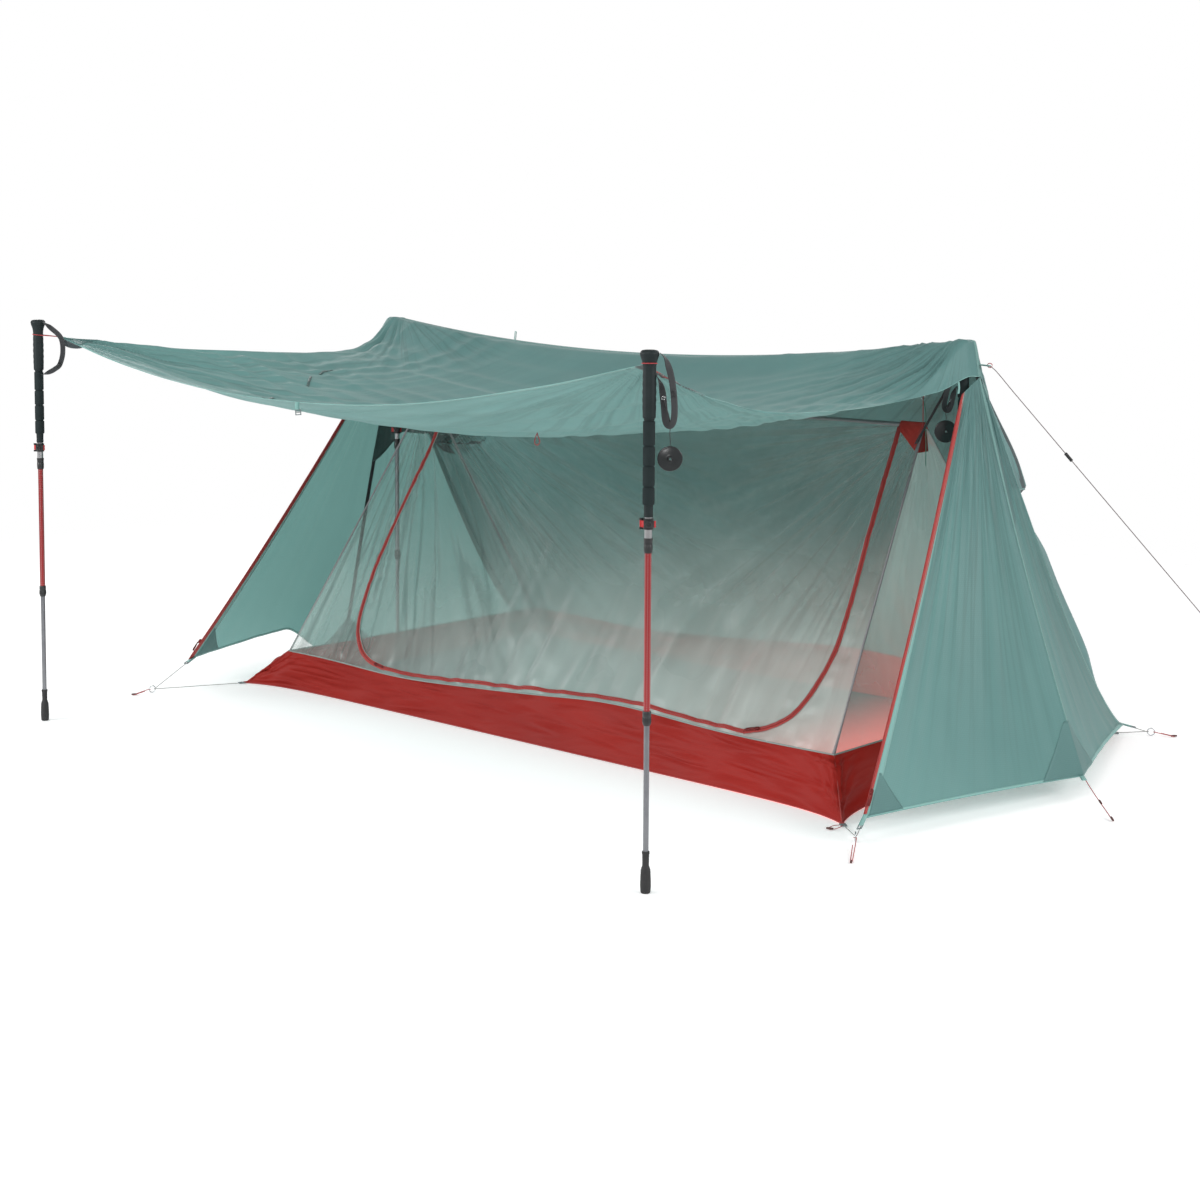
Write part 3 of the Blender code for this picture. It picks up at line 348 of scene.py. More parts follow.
cord_piece("guyline", guy_line, grey_cord, "cord_pale", "guyline_ridge", "knot",
           ["line_tightener_body", "guyline_tie"])

RING_R = 0.0100
RING_WIRE = 0.0016
RING_Z = RING_R + RING_WIRE + 0.0004
PEG_Z = CORD_R + 0.0002
ring_wrap = RING_WIRE + CORD_R + LINE_GAP
CORNERS = {
    "front_right": ((1.1404, -0.6054, 0.0016), (1.274, -0.709, 0.0614), (1.2448, -0.6990), (1.3377, -0.8459)),
    "front_left": ((-1.1404, -0.6054, 0.0016), (-1.274, -0.709, 0.0732), (-1.2293, -0.8906), (-1.2404, -0.9533)),
    "rear_right": ((1.1404, 0.6824, 0.0016), (1.1737, 0.6937, 0.030), (1.2345, 0.7354), (1.2901, 0.7712)),
}
LOOP_GAPS = ((0.3, 0.0030), (0.65, 0.0026), (0.92, 0.0022))
PULLED = {}
for tag, (floor_at, fly_at, ring_xy, peg_xy) in CORNERS.items():
    floor_at = Vector(floor_at)
    fly_at = Vector(fly_at)
    ring_at = Vector((*ring_xy, RING_Z))
    peg_at = Vector((*peg_xy, PEG_Z))
    pull = Vector((peg_at.x - ring_at.x, peg_at.y - ring_at.y, 0.0)).normalized()
    PULLED[tag] = floor_at, fly_at, ring_at, peg_at, pull
    side = Vector((-pull.y, pull.x, 0.0))
    if (fly_at - ring_at).dot(side) < 0.0:
        side = -side
    near = ring_at - pull * RING_R
    points = [floor_at] + [floor_at.lerp(near - side * ring_wrap, share) for share in (0.35, 0.7, 0.93)]
    for turn in map(math.radians, (90.0, 50.0, 0.0, -50.0, -90.0)):
        points.append(near - side * ring_wrap * math.sin(turn) + pull * ring_wrap * math.cos(turn))
    points += [fly_at.lerp(near + side * ring_wrap, share) for share in (0.93, 0.7, 0.35)] + [fly_at]
    cord_piece("corner_line_" + tag + "_cord", points, pale_cord, "cord_pale", "corner_line_" + tag, "object",
               ["ring_" + tag + "_wire", "line_lock_" + tag, "fly_lock_" + tag])
    far = ring_at + pull * RING_R
    loop = []
    for turn in map(math.radians, (-90.0, -45.0, 0.0, 45.0, 90.0)):
        loop.append(far + side * ring_wrap * math.sin(turn) - pull * ring_wrap * math.cos(turn))
    loop += [far.lerp(peg_at, share) + side * gap for share, gap in LOOP_GAPS] + [peg_at]
    loop += [far.lerp(peg_at, share) - side * gap for share, gap in reversed(LOOP_GAPS)]
    cord_piece("peg_loop_" + tag + "_cord", loop, red_cord, "cord_red", "peg_loop_" + tag, "knot",
               ["peg_toggle_" + tag])

end_start = Vector((1.4319, 0.0070, 0.0548))
end_peg = Vector((1.5895, -0.1312, PEG_Z))
end_route = [end_start.lerp(end_peg, k / 9.0)
             - Vector((0.0, 0.0, 0.004 * math.sin(math.pi * k / 9.0) * (1.0 - k / 9.0))) for k in range(10)]
cord_piece("end_line_cord", end_route, red_cord, "cord_red", "end_line_right", "knot",
           ["end_line_toggle", "end_line_slider"])


# Trekking poles
# Each pole has a flared rubber cap, a moulded grip with a grooved foam sleeve below it, and three tubes that slide
# in each other. A lever clamp holds the upper joint and a twist lock the lower one. The foot is a rubber tip.
CAP_R = 0.0205
GRIP_R = 0.0140
FOAM_R = 0.0128
UPPER_R = 0.0082
MIDDLE_R = 0.0071
LOWER_R = 0.0060
CLAMP_R = 0.0112
CLAMP_H = 0.024
POLE_TOPS = {
    "front_right": Vector((1.146, -1.320, 1.151)),
    "front_left": Vector((-1.146, -1.320, 1.151)),
    "ridge_right": Vector((1.078, -0.023, 1.1266)),
    "ridge_left": Vector((-1.078, -0.023, 1.1266)),
}
LEVER_TURN = math.radians(-150.0)


def pick(*pieces):
    # Selects these pieces and no other, with the last one active.
    bpy.ops.object.select_all(action="DESELECT")
    for piece in pieces:
        piece.select_set(True)
    bpy.context.view_layer.objects.active = pieces[-1]


def lathe(name, profile, finish, count=40):
    # A profile of (radius, height) points, spun round the pole's own line.
    mesh = bpy.data.meshes.new(name)
    edges = [(k, k + 1) for k in range(len(profile) - 1)]
    if profile[0][0] > 1e-5 and profile[-1][0] > 1e-5:
        edges.append((len(profile) - 1, 0))
    mesh.from_pydata([(radius, 0.0, height) for radius, height in profile], edges, [])
    made = bpy.data.objects.new(name, mesh)
    scene.collection.objects.link(made)
    pick(made)
    bpy.ops.object.mode_set(mode="EDIT")
    bpy.ops.mesh.select_all(action="SELECT")
    bpy.ops.mesh.spin(steps=count, angle=2.0 * math.pi, center=(0.0, 0.0, 0.0), axis=(0.0, 0.0, 1.0))
    bpy.ops.mesh.select_all(action="SELECT")
    bpy.ops.mesh.remove_doubles(threshold=0.00002)
    bpy.ops.mesh.normals_make_consistent(inside=False)
    bpy.ops.object.mode_set(mode="OBJECT")
    bpy.ops.object.shade_smooth_by_angle(angle=math.radians(38.0))
    mesh.materials.append(finish)
    return made


def placed_copy(pattern, name, place):
    # A copy of a finished piece with its own mesh, whose place is in the mesh.
    made = pattern.copy()
    made.data = pattern.data.copy()
    made.name = made.data.name = name
    scene.collection.objects.link(made)
    made.data.transform(Matrix.Translation(place))
    return made


# Fine grain: two sizes of noise for moulded rubber, foam and plastic.
grain_tree, grain_in, grain_out = group_tree("grain", {"Vector": None, "Scale": 900.0}, ("Height", "Blotch"))
feed(grain_tree, grain_out, Height=noisy(grain_tree, grain_in["Vector"], Scale=grain_in["Scale"], Detail=3.0),
     Blotch=noisy(grain_tree, grain_in["Vector"], Scale=45.0))


def grained(name, dark, light, low_rough, high_rough, scale, depth, metallic=0.0):
    # A moulded or anodised finish with fine grain and a slow change of tone.
    made, tree, shader = new_finish(name, dark, low_rough, metallic)
    grain = add_group(tree, grain_tree, Vector=object_place(tree), Scale=scale)
    feed(tree, shader, Base_Color=mixed(tree, grain["Blotch"], dark, light),
         Roughness=ranged(tree, grain["Height"], 0.0, 1.0, low_rough, high_rough, "LINEAR"),
         Normal=bumped(tree, grain["Height"], 0.5, depth))
    return made


grip_rubber = grained("grip_rubber", (0.009, 0.014, 0.015), (0.017, 0.025, 0.026), 0.40, 0.60, 1400.0, 0.0001)
grip_foam = grained("grip_foam", (0.010, 0.016, 0.017), (0.019, 0.028, 0.029), 0.75, 0.95, 2600.0, 0.0004)
black_moulding = grained("black_moulding", (0.010, 0.011, 0.012), (0.020, 0.021, 0.022), 0.28, 0.45, 700.0,
                         0.00005)
red_moulding = grained("red_moulding", (0.36, 0.012, 0.015), (0.46, 0.020, 0.022), 0.22, 0.36, 600.0, 0.00003)
silver_metal = grained("silver_metal", (0.42, 0.42, 0.43), (0.55, 0.55, 0.56), 0.25, 0.38, 900.0, 0.00002, 1.0)
grey_anodised = grained("grey_anodised", (0.17, 0.175, 0.19), (0.25, 0.255, 0.27), 0.28, 0.42, 900.0, 0.00002,
                        0.85)
for soft_finish in (grip_rubber, grip_foam):
    dress(soft_finish, Specular_IOR_Level=0.2)
tip_rubber = grained("tip_rubber", (0.012, 0.012, 0.013), (0.024, 0.024, 0.025), 0.6, 0.85, 1100.0, 0.0002)

DOT_PITCH = 0.0052
DOTS_ROUND = 7.0


def every(tree, value, pitch, share):
    # One where a value is near a multiple of its pitch, and nothing between.
    steps_on = math_node(tree, "DIVIDE", value, pitch)
    return math_node(tree, "LESS_THAN", math_node(tree, "PINGPONG", steps_on, 0.5), share)


def dotted_red(name, place):
    # The middle tube is anodised red, with rows of fine pale dots printed round it.
    made, tree, shader = new_finish(name, (0.30, 0.03, 0.03), 0.32, 0.55)
    axes = split(tree, object_place(tree))
    x = math_node(tree, "SUBTRACT", axes["X"], place.x)
    y = math_node(tree, "SUBTRACT", axes["Y"], place.y)
    turn = math_node(tree, "ARCTAN2", y, x)
    dots = math_node(tree, "MULTIPLY", every(tree, turn, 2.0 * math.pi / DOTS_ROUND, 0.13),
                     every(tree, axes["Z"], DOT_PITCH, 0.16))
    feed(tree, shader, Base_Color=mixed(tree, dots, (0.33, 0.030, 0.032), (0.62, 0.42, 0.42)))
    return made


handle_profile = [(0.0, 0.0), (0.0100, -0.0002), (0.0155, -0.0012), (0.0185, -0.0032), (CAP_R - 0.0003, -0.0062),
                  (CAP_R, -0.0085), (CAP_R - 0.0008, -0.0125), (0.0182, -0.0175), (GRIP_R + 0.0018, -0.0240),
                  (GRIP_R + 0.0002, -0.0330)]
for z in steps(-0.0400, -0.1360, 12):
    ridge = 0.0005 * math.sin((z + 0.04) * 2.0 * math.pi / 0.0175)
    handle_profile.append((GRIP_R - 0.0001 + ridge - 0.0006 * math.sin((z + 0.04) / 0.096 * math.pi), z))
handle_profile += [(GRIP_R - 0.0002, -0.1400), (GRIP_R - 0.0009, -0.1425), (FOAM_R - 0.0016, -0.1435),
                   (FOAM_R - 0.0016, -0.1470), (0.0099, -0.1480), (0.0099, -0.3250), (UPPER_R + 0.0016, -0.3290),
                   (UPPER_R + 0.0013, -0.3400), (UPPER_R + 0.0017, -0.3440), (UPPER_R + 0.0012, -0.3490),
                   (UPPER_R + 0.0004, -0.3490), (UPPER_R + 0.0004, -0.0200), (0.0, -0.0200)]
foam_profile = [(0.0101, -0.1482), (FOAM_R - 0.0006, -0.1486), (FOAM_R, -0.1500)]
for groove in (0.2005, 0.2424, 0.2859):
    half_groove = ((0.0, 0.0042), (0.0004, 0.0022), (0.0010, 0.0014), (0.0024, 0.0010))
    foam_profile += [(FOAM_R - deep, -groove + away) for deep, away in half_groove]
    foam_profile += [(FOAM_R - deep, -groove - away) for deep, away in reversed(half_groove)]
foam_profile += [(FOAM_R, -0.3200), (FOAM_R - 0.0008, -0.3228), (0.0101, -0.3240)]
BORE = MIDDLE_R + 0.0002
upper_profile = [(UPPER_R, -0.0204), (UPPER_R, -0.3760), (UPPER_R, -0.3940), (BORE, -0.3940), (BORE, -0.0204)]
clamp_top = -0.3510
clamp_profile = [(UPPER_R + 0.0001, clamp_top), (CLAMP_R - 0.0010, clamp_top), (CLAMP_R, clamp_top - 0.0012),
                 (CLAMP_R, clamp_top - 0.0088), (CLAMP_R - 0.0009, clamp_top - 0.0096),
                 (CLAMP_R - 0.0009, clamp_top - 0.0144), (CLAMP_R, clamp_top - 0.0152),
                 (CLAMP_R, clamp_top - CLAMP_H + 0.0012), (CLAMP_R - 0.0010, clamp_top - CLAMP_H),
                 (UPPER_R + 0.0001, clamp_top - CLAMP_H)]
bush_profile = [(BORE, -0.3930), (0.0094, -0.3930), (0.0097, -0.3945), (0.0097, -0.3985), (0.0092, -0.3995),
                (0.0092, -0.4080), (0.0096, -0.4090), (0.0094, -0.4190), (0.0090, -0.4235), (0.0084, -0.4248),
                (BORE, -0.4250)]
middle_profile = [(MIDDLE_R, -0.3650), (MIDDLE_R, -0.7605), (0.0062, -0.7605), (0.0062, -0.3650)]
lock_profile = [(MIDDLE_R - 0.0004, -0.7596), (0.0081, -0.7600), (0.0089, -0.7612), (0.0092, -0.7635),
                (0.0092, -0.7700), (0.0088, -0.7707), (0.0088, -0.7723), (0.0092, -0.7730), (0.0092, -0.7838),
                (0.0087, -0.7868), (0.0080, -0.7890), (0.0072, -0.7908), (0.0062, -0.7910)]
# Each pattern has its profile, its finish, its slot, its body and the node that it stands for.
PATTERNS = {
    "handle": (handle_profile, grip_rubber, "grip_foam", "tent", "grip"),
    "foam": (foam_profile, grip_foam, "grip_foam", "tent", None),
    "upper": (upper_profile, silver_metal, "grey_tube", "tent", "upper_tube"),
    "clamp": (clamp_profile, black_moulding, "black_plastic", "tent", None),
    "bush": (bush_profile, black_moulding, "black_plastic", "tent", None),
    "middle": (middle_profile, grey_anodised, "red_tube", "middle", "middle_tube"),
    "lock": (lock_profile, black_moulding, "black_plastic", "middle", None),
}
mounts = {label: lathe(label, row[0], row[1]) for label, row in PATTERNS.items()}

# Ribs on the lock's lower half give the fingers a hold.
for turn in full_turn(14):
    bpy.ops.mesh.primitive_cube_add(size=1.0, location=(0.0, 0.0, 0.0))
    rib = bpy.context.object
    rib.data.transform(Matrix.Diagonal((0.0007, 0.0012, 0.0098, 1.0)))
    rib.data.transform(Matrix.Translation((0.0093, 0.0, -0.7786)))
    rib.data.transform(Matrix.Rotation(turn, 4, "Z"))
    rib.data.materials.append(black_moulding)
    pick(rib, mounts["lock"])
    bpy.ops.object.join()

# The lever wraps half round the clamp from its hinge: red at its hinge and its tip, and black under the round
# knob in its middle.
pivot_r = CLAMP_R + 0.0040
pivot = Vector((pivot_r * math.cos(LEVER_TURN), pivot_r * math.sin(LEVER_TURN), 0.0))
lever_low = clamp_top - CLAMP_H + 0.0048
lever_high = clamp_top - 0.0048
lever_middle = 0.5 * (lever_high + lever_low)
lever_rows = []
LEVER_STEPS = 22
for z, inset in ((lever_high, 0.0009), (lever_high - 0.0010, 0.0), (lever_middle + 0.0030, 0.0),
                 (lever_middle, 0.0006), (lever_middle - 0.0030, 0.0), (lever_low + 0.0010, 0.0),
                 (lever_low, 0.0009)):
    row = []
    for skin, flare, shares in ((CLAMP_R + 0.0036 - inset, 0.0026, range(LEVER_STEPS + 1)),
                                (CLAMP_R + 0.0007, 0.0022, range(LEVER_STEPS, -1, -1))):
        for share in (k / LEVER_STEPS for k in shares):
            turn = LEVER_TURN + math.radians(8.0 + 158.0 * share)
            radius = skin + flare * smooth((share - 0.82) / 0.18)
            row.append((radius * math.cos(turn), radius * math.sin(turn), z))
    lever_rows.append(row)


def ringed(name, *stacks):
    # A mesh of closed solids, each a stack of rings of points.
    points = []
    faces = []
    for rows in stacks:
        start, around, last = len(points), len(rows[0]), len(rows) - 1
        points += [point for row in rows for point in row]
        for i in range(last):
            for j in range(around):
                a, b, after = start + i * around, start + (i + 1) * around, (j + 1) % around
                faces.append((a + j, a + after, b + after, b + j))
        faces.append(tuple(start + j for j in range(around)))
        faces.append(tuple(start + last * around + j for j in reversed(range(around))))
    mesh = bpy.data.meshes.new(name)
    mesh.from_pydata(points, [], faces)
    body = bmesh.new()
    body.from_mesh(mesh)
    bmesh.ops.recalc_face_normals(body, faces=body.faces)
    body.to_mesh(mesh)
    body.free()
    return mesh


lever_mesh = ringed("lever", lever_rows)
lever = bpy.data.objects.new("lever", lever_mesh)
scene.collection.objects.link(lever)
lever_mesh.materials.append(red_moulding)
lever_mesh.materials.append(black_moulding)
KNOB_TURN = LEVER_TURN + math.radians(103.0)
for polygon in lever_mesh.polygons:
    middle = polygon.center
    apart = (math.atan2(middle.y, middle.x) - KNOB_TURN + math.pi) % (2.0 * math.pi) - math.pi
    polygon.material_index = 1 if abs(apart) < math.radians(48.0) or len(polygon.vertices) > 4 else 0
bpy.ops.mesh.primitive_cylinder_add(vertices=20, radius=0.0034, depth=lever_high - lever_low - 0.0004,
                                    location=(pivot.x, pivot.y, 0.5 * (lever_low + lever_high)))
knuckle = bpy.context.object
bpy.ops.object.transform_apply(location=True, rotation=True, scale=True)
knuckle.data.materials.append(red_moulding)
knob = lathe("knob", [(0.0, 0.0026), (0.0012, 0.0026), (0.0013, 0.0020), (0.0040, 0.0020), (0.0043, 0.0027),
                      (0.0056, 0.0026), (0.0060, 0.0020), (0.0061, 0.0008), (0.0064, 0.0), (0.0064, -0.0012),
                      (0.0, -0.0012)], black_moulding, 28)
knob.data.transform(Matrix.Rotation(math.radians(90.0), 4, "Y"))
knob.data.transform(Matrix.Translation((CLAMP_R + 0.0042, 0.0, 0.5 * (lever_low + lever_high))))
knob.data.transform(Matrix.Rotation(KNOB_TURN, 4, "Z"))
pick(knob, knuckle, lever)
bpy.ops.object.join()
bpy.ops.object.shade_smooth_by_angle(angle=math.radians(35.0))
PATTERNS["lever"] = (None, None, "red_plastic", "lever", "lever")
mounts["lever"] = lever

# Two lugs on the clamp carry the lever's hinge.
for low, high in ((-CLAMP_H, -CLAMP_H + 0.0045), (-0.0045, 0.0)):
    bpy.ops.mesh.primitive_cylinder_add(vertices=20, radius=0.0046, depth=high - low,
                                        location=(pivot.x, pivot.y, clamp_top + 0.5 * (low + high)))
    lug = bpy.context.object
    bpy.ops.object.transform_apply(location=True, rotation=True, scale=True)
    lug.data.materials.append(black_moulding)
    pick(lug, mounts["clamp"])
    bpy.ops.object.join()
    bpy.ops.object.shade_smooth_by_angle(angle=math.radians(38.0))

FOOT_SHAPE = ((0.0, 0.0300), (0.0063, 0.0300), (0.0063, 0.0900), (0.0078, 0.0900), (0.0083, 0.0885),
              (0.0083, 0.0850), (0.0076, 0.0838), (0.0073, 0.0700), (0.0071, 0.0600), (0.0084, 0.0560),
              (0.0104, 0.0500), (0.0108, 0.0440), (0.0105, 0.0425), (0.0109, 0.0410), (0.0113, 0.0300),
              (0.0110, 0.0288), (0.0114, 0.0276), (0.0116, 0.0150), (0.0113, 0.0138), (0.0115, 0.0126),
              (0.0108, 0.0030), (0.0098, 0.0004), (0.0, 0.0))


def fitted(piece, tag, slot_name, body, stands):
    # Sets a pole's piece on its body.
    held(piece, slot_name, body if body == "tent" else tag + "_" + body,
         stands and "pole_" + tag + "_" + stands)


for tag, top in POLE_TOPS.items():
    for label, pattern in mounts.items():
        piece = placed_copy(pattern, "pole_" + tag + "_" + label + "_fine", top)
        fitted(piece, tag, *PATTERNS[label][2:])
        if label == "middle" and tag != "ridge_left":
            piece.data.materials[0] = dotted_red("red_anodised_" + tag, top)

    # The lower tube ends in its rubber foot, whose length is set by this pole's height.
    ground = -top.z
    lower_profile = [(LOWER_R, -0.7360), (LOWER_R, ground + 0.0303), (LOWER_R - 0.0009, ground + 0.0303),
                     (LOWER_R - 0.0009, -0.7360)]
    foot_profile = [(radius, ground + height) for radius, height in FOOT_SHAPE]
    for label, profile, finish, slot_name, stands in (
            ("lower", lower_profile, grey_anodised, "grey_tube", "lower_tube"),
            ("foot", foot_profile, tip_rubber, "foot_rubber", "foot")):
        piece = lathe("pole_" + tag + "_" + label + "_fine", profile, finish)
        piece.data.transform(Matrix.Translation(top))
        fitted(piece, tag, slot_name, "lower", stands)
for pattern in mounts.values():
    bpy.data.objects.remove(pattern, do_unlink=True)


# Flysheet cloth
# The flysheet is one skin of thin coated ripstop nylon, sewn from a front panel that is held up as an awning,
# a rear roof and two end walls. Light comes through it, and it wrinkles from every point where it is pulled.
GAP = 0.0003
CLOTH = 0.002
RIDGE_HALF = 1.078
PEAK_Z = 1.126
RIDGE_SAG = 0.073
CAP_HALF = 1.114
CAP_FLAT = 0.0204
CAP_DEPTH = 0.046
CAP_EDGE_Z = 1.037
AWNING_X = 1.100
AWNING_Y = -1.275
AWNING_Z = 1.118
AWNING_LEFT_Z = 1.101
HEM_SAG = 0.142
HEM_INSET = 0.075
AWNING_BELLY = 0.075
SIDE_SAG_RIGHT = 0.100
SIDE_SAG_LEFT = 0.026
SIDE_INSET = 0.085
CAP_SHARE = CAP_DEPTH / -AWNING_Y
FRONT_FOOT = Vector((1.276, -0.705, 0.062))
END_FOOT = Vector((1.430, 0.010, 0.055))
REAR_FOOT = Vector((1.172, 0.692, 0.030))
REAR_BOW = 0.180
LEFT_HEM_LIFT = 0.036
ZIP_TOP = Vector((1.108, -0.066, 1.000))
ZIP_WIDTH = 0.016
VENT_LIFT = 0.085
SEAM_TOP = 0.02
SIDES = ((1.0, "right"), (-1.0, "left"))

# Ripstop weave: fine threads with a thicker one every few millimetres, both ways, on the cloth's own map.
ripstop_tree, ripstop_in, ripstop_out = group_tree(
    "ripstop", {"Vector": None, "Pitch": 0.005}, ("Height", "Thread"))
ripstop_axes = split(ripstop_tree, ripstop_in["Vector"])
thick_thread = math_node(ripstop_tree, "MAXIMUM", *(
    every(ripstop_tree, ripstop_axes[way], ripstop_in["Pitch"], 0.09) for way in "XY"))
weave_noise = noisy(ripstop_tree, ripstop_in["Vector"], Scale=1500.0, Detail=1.0)
feed(ripstop_tree, ripstop_out, Thread=thick_thread,
     Height=math_node(ripstop_tree, "MULTIPLY_ADD", weave_noise, 0.5, thick_thread))

# Cloth tone: slow clouds from handling, and long soft creases from packing, on the cloth's own map.
tone_tree, tone_in, tone_out = group_tree(
    "cloth_tone", {"Vector": None, "Crease Scale": 9.0, "Stretch": WHITE}, ("Cloud", "Crease"))
crease_place = in_turn(tone_tree, node(tone_tree, "ShaderNodeVectorMath", operation="MULTIPLY"),
                       tone_in["Vector"], tone_in["Stretch"])
feed(tone_tree, tone_out, Cloud=noisy(tone_tree, tone_in["Vector"], Scale=2.3, Detail=3.0),
     Crease=noisy(tone_tree, crease_place, "RIDGED_MULTIFRACTAL", Scale=tone_in["Crease Scale"], Detail=3.0,
                  Roughness=0.55, Distortion=0.25))

# Pulled lines: crisp creases that run out from a pulled point and die away. A and B are the distances from that
# point, along two directions. Line marks the creases, which the cloth finishes darken as painted shade.
pull_tree, pull_in, pull_out = group_tree(
    "pull_lines", {"A": 0.0, "B": 0.0, "Spokes": 10.0, "Reach": 0.8}, ("Line", "Wave"))
pull_run = math_node(pull_tree, "MULTIPLY", math_node(pull_tree, "ARCTAN2", pull_in["B"], pull_in["A"]),
                     pull_in["Spokes"])
pull_away = math_node(pull_tree, "SQRT", math_node(pull_tree, "ADD", *(
    math_node(pull_tree, "MULTIPLY", pull_in[way], pull_in[way]) for way in "AB")))
pull_place = in_turn(pull_tree, node(pull_tree, "ShaderNodeCombineXYZ"), pull_run, pull_away, pull_in["Reach"])
pull_noise = noisy(pull_tree, pull_place, Scale=1.0, Detail=2.0)
pull_gap = math_node(pull_tree, "ABSOLUTE", math_node(pull_tree, "SUBTRACT", pull_noise, 0.5))
pull_share = math_node(pull_tree, "DIVIDE", pull_away, pull_in["Reach"])
pull_keep = math_node(pull_tree, "MULTIPLY", ranged(pull_tree, pull_share, 0.15, 1.0, 1.0, 0.0),
                      ranged(pull_tree, pull_away, 0.02, 0.12))
feed(pull_tree, pull_out, Wave=math_node(pull_tree, "MULTIPLY", pull_noise, pull_keep),
     Line=math_node(pull_tree, "MULTIPLY", ranged(pull_tree, pull_gap, 0.0, 0.065, 1.0, 0.0), pull_keep))


def pulled(tree, plane, pulls):
    # The lines and waves of all pulled points of a cloth: (place along plane[0], place along plane[1],
    # spokes, reach).
    axes = split(tree, object_place(tree))
    line = wave = None
    for first, second, spokes, reach in pulls:
        lines = add_group(tree, pull_tree, Spokes=spokes, Reach=reach,
                          A=math_node(tree, "SUBTRACT", axes[plane[0]], first),
                          B=math_node(tree, "SUBTRACT", axes[plane[1]], second))
        line = math_node(tree, "MAXIMUM", line, lines["Line"]) if line else lines["Line"]
        wave = math_node(tree, "ADD", wave, lines["Wave"]) if wave else lines["Wave"]
    return line, wave


def cloth_place(tree):
    return node(tree, "ShaderNodeUVMap", uv_map="cloth").outputs["UV"]


def cloth_finish(name, dark, light, glow, through, low_rough, high_rough, stretch, crease_depth, plane="XY",
                 pulls=(), crease_shade=0.72, wave_height=1.0, pitch=0.0052, cover_of=None):
    # Thin woven cloth: ripstop threads, clouds of tone, soft creases, painted shade along the pulled creases, and
    # light from behind. cover_of gives the share of an open mesh that its threads cover.
    made, tree, shader = new_finish(name, dark, low_rough)
    place = cloth_place(tree)
    weave = add_group(tree, ripstop_tree, Vector=place, Pitch=pitch)
    tone = add_group(tree, tone_tree, Vector=place, Crease_Scale=7.0, Stretch=stretch)
    colour = mixed(tree, ranged(tree, tone["Cloud"], 0.3, 0.7, way="LINEAR"), dark, light)
    colour = mixed(tree, weave["Thread"], colour, (0.86, 0.88, 0.88), "MULTIPLY")
    crease = tone["Crease"]
    if pulls:
        line, wave = pulled(tree, plane, pulls)
        # Painted shade: the colour is darkened along the pulled crease lines.
        colour = mixed(tree, line, colour, (crease_shade, crease_shade, crease_shade), "MULTIPLY")
        crease = math_node(tree, "MULTIPLY_ADD", wave, wave_height, crease)
    soft = bumped(tree, crease, 0.8, crease_depth)
    feed(tree, shader, Base_Color=colour, Specular_IOR_Level=0.45, Sheen_Weight=0.12, Sheen_Roughness=0.4,
         Roughness=ranged(tree, tone["Cloud"], 0.0, 1.0, low_rough, high_rough, "LINEAR"),
         Normal=bumped(tree, weave["Height"], 0.35, 0.0001, Normal=soft))
    if through > 0.0:
        back = feed(tree, node(tree, "ShaderNodeBsdfTranslucent"), Color=glow, Normal=soft).outputs[0]
        if cover_of:
            cover = cover_of(tree, place, tone, weave, line)
            feed(tree, shader, Alpha=cover)
            back = shader_mix(tree, cover, node(tree, "ShaderNodeBsdfTransparent").outputs[0], back)
        both = shader_mix(tree, through, shader.outputs[0], back)
        feed(tree, tree.nodes["Material Output"], Surface=both)
    return made


FLY_DARK = (0.108, 0.243, 0.236)
FLY_LIGHT = (0.136, 0.288, 0.278)
FLY_GLOW = (0.185, 0.375, 0.345)
# One cloth for all four panels. The roof lets less light through than the end walls, and the rear panel far less,
# as painted shade that darkens the awning's underside and the rear panel seen from inside.
roof_nylon = cloth_finish("roof_nylon", FLY_DARK, FLY_LIGHT, FLY_GLOW, 0.25, 0.46, 0.60, (0.09, 1.5, 1.0), 0.005,
                          wave_height=0.5,
                          pulls=((AWNING_X, AWNING_Y, 16.0, 1.5), (-AWNING_X, AWNING_Y, 18.0, 1.8),
                                 (RIDGE_HALF, 0.0, 14.0, 0.6), (-RIDGE_HALF, 0.0, 14.0, 0.8)))
wall_nylon = cloth_finish("wall_nylon", FLY_DARK, FLY_LIGHT, FLY_GLOW, 0.36, 0.38, 0.54, (1.6, 0.12, 1.0), 0.008,
                          plane="YZ", pulls=((0.0, CAP_EDGE_Z + 0.05, 26.0, 1.3),))
left_nylon = cloth_finish("left_nylon", FLY_DARK, FLY_LIGHT, FLY_GLOW, 0.34, 0.38, 0.54, (1.2, 0.12, 1.0), 0.004,
                          plane="YZ", pulls=((0.0, CAP_EDGE_Z + 0.05, 16.0, 0.5),), crease_shade=0.85)
rear_nylon = cloth_finish("rear_nylon", FLY_DARK, FLY_LIGHT, FLY_GLOW, 0.10, 0.38, 0.54, (1.6, 0.12, 1.0), 0.008,
                          plane="XZ", pulls=((RIDGE_HALF, PEAK_Z, 12.0, 1.2), (-RIDGE_HALF, PEAK_Z, 12.0, 1.2),
                                             (1.172, 0.03, 10.0, 0.6), (-1.172, 0.03, 10.0, 0.6)))


def with_folds(base, fold):
    # The same surface with its folds, moved along the surface's own normal.
    def spot(u, v):
        here = base(u, v)
        step = 0.004
        u_low, u_high = max(0.0, u - step), min(1.0, u + step)
        v_low, v_high = max(0.0, v - step), min(1.0, v + step)
        along = base(u_high, v) - base(u_low, v)
        down = base(u, v_high) - base(u, v_low)
        out = along.cross(down)
        if out.length < 1e-12:
            return here
        return here + out.normalized() * fold(u, v, here)
    return spot


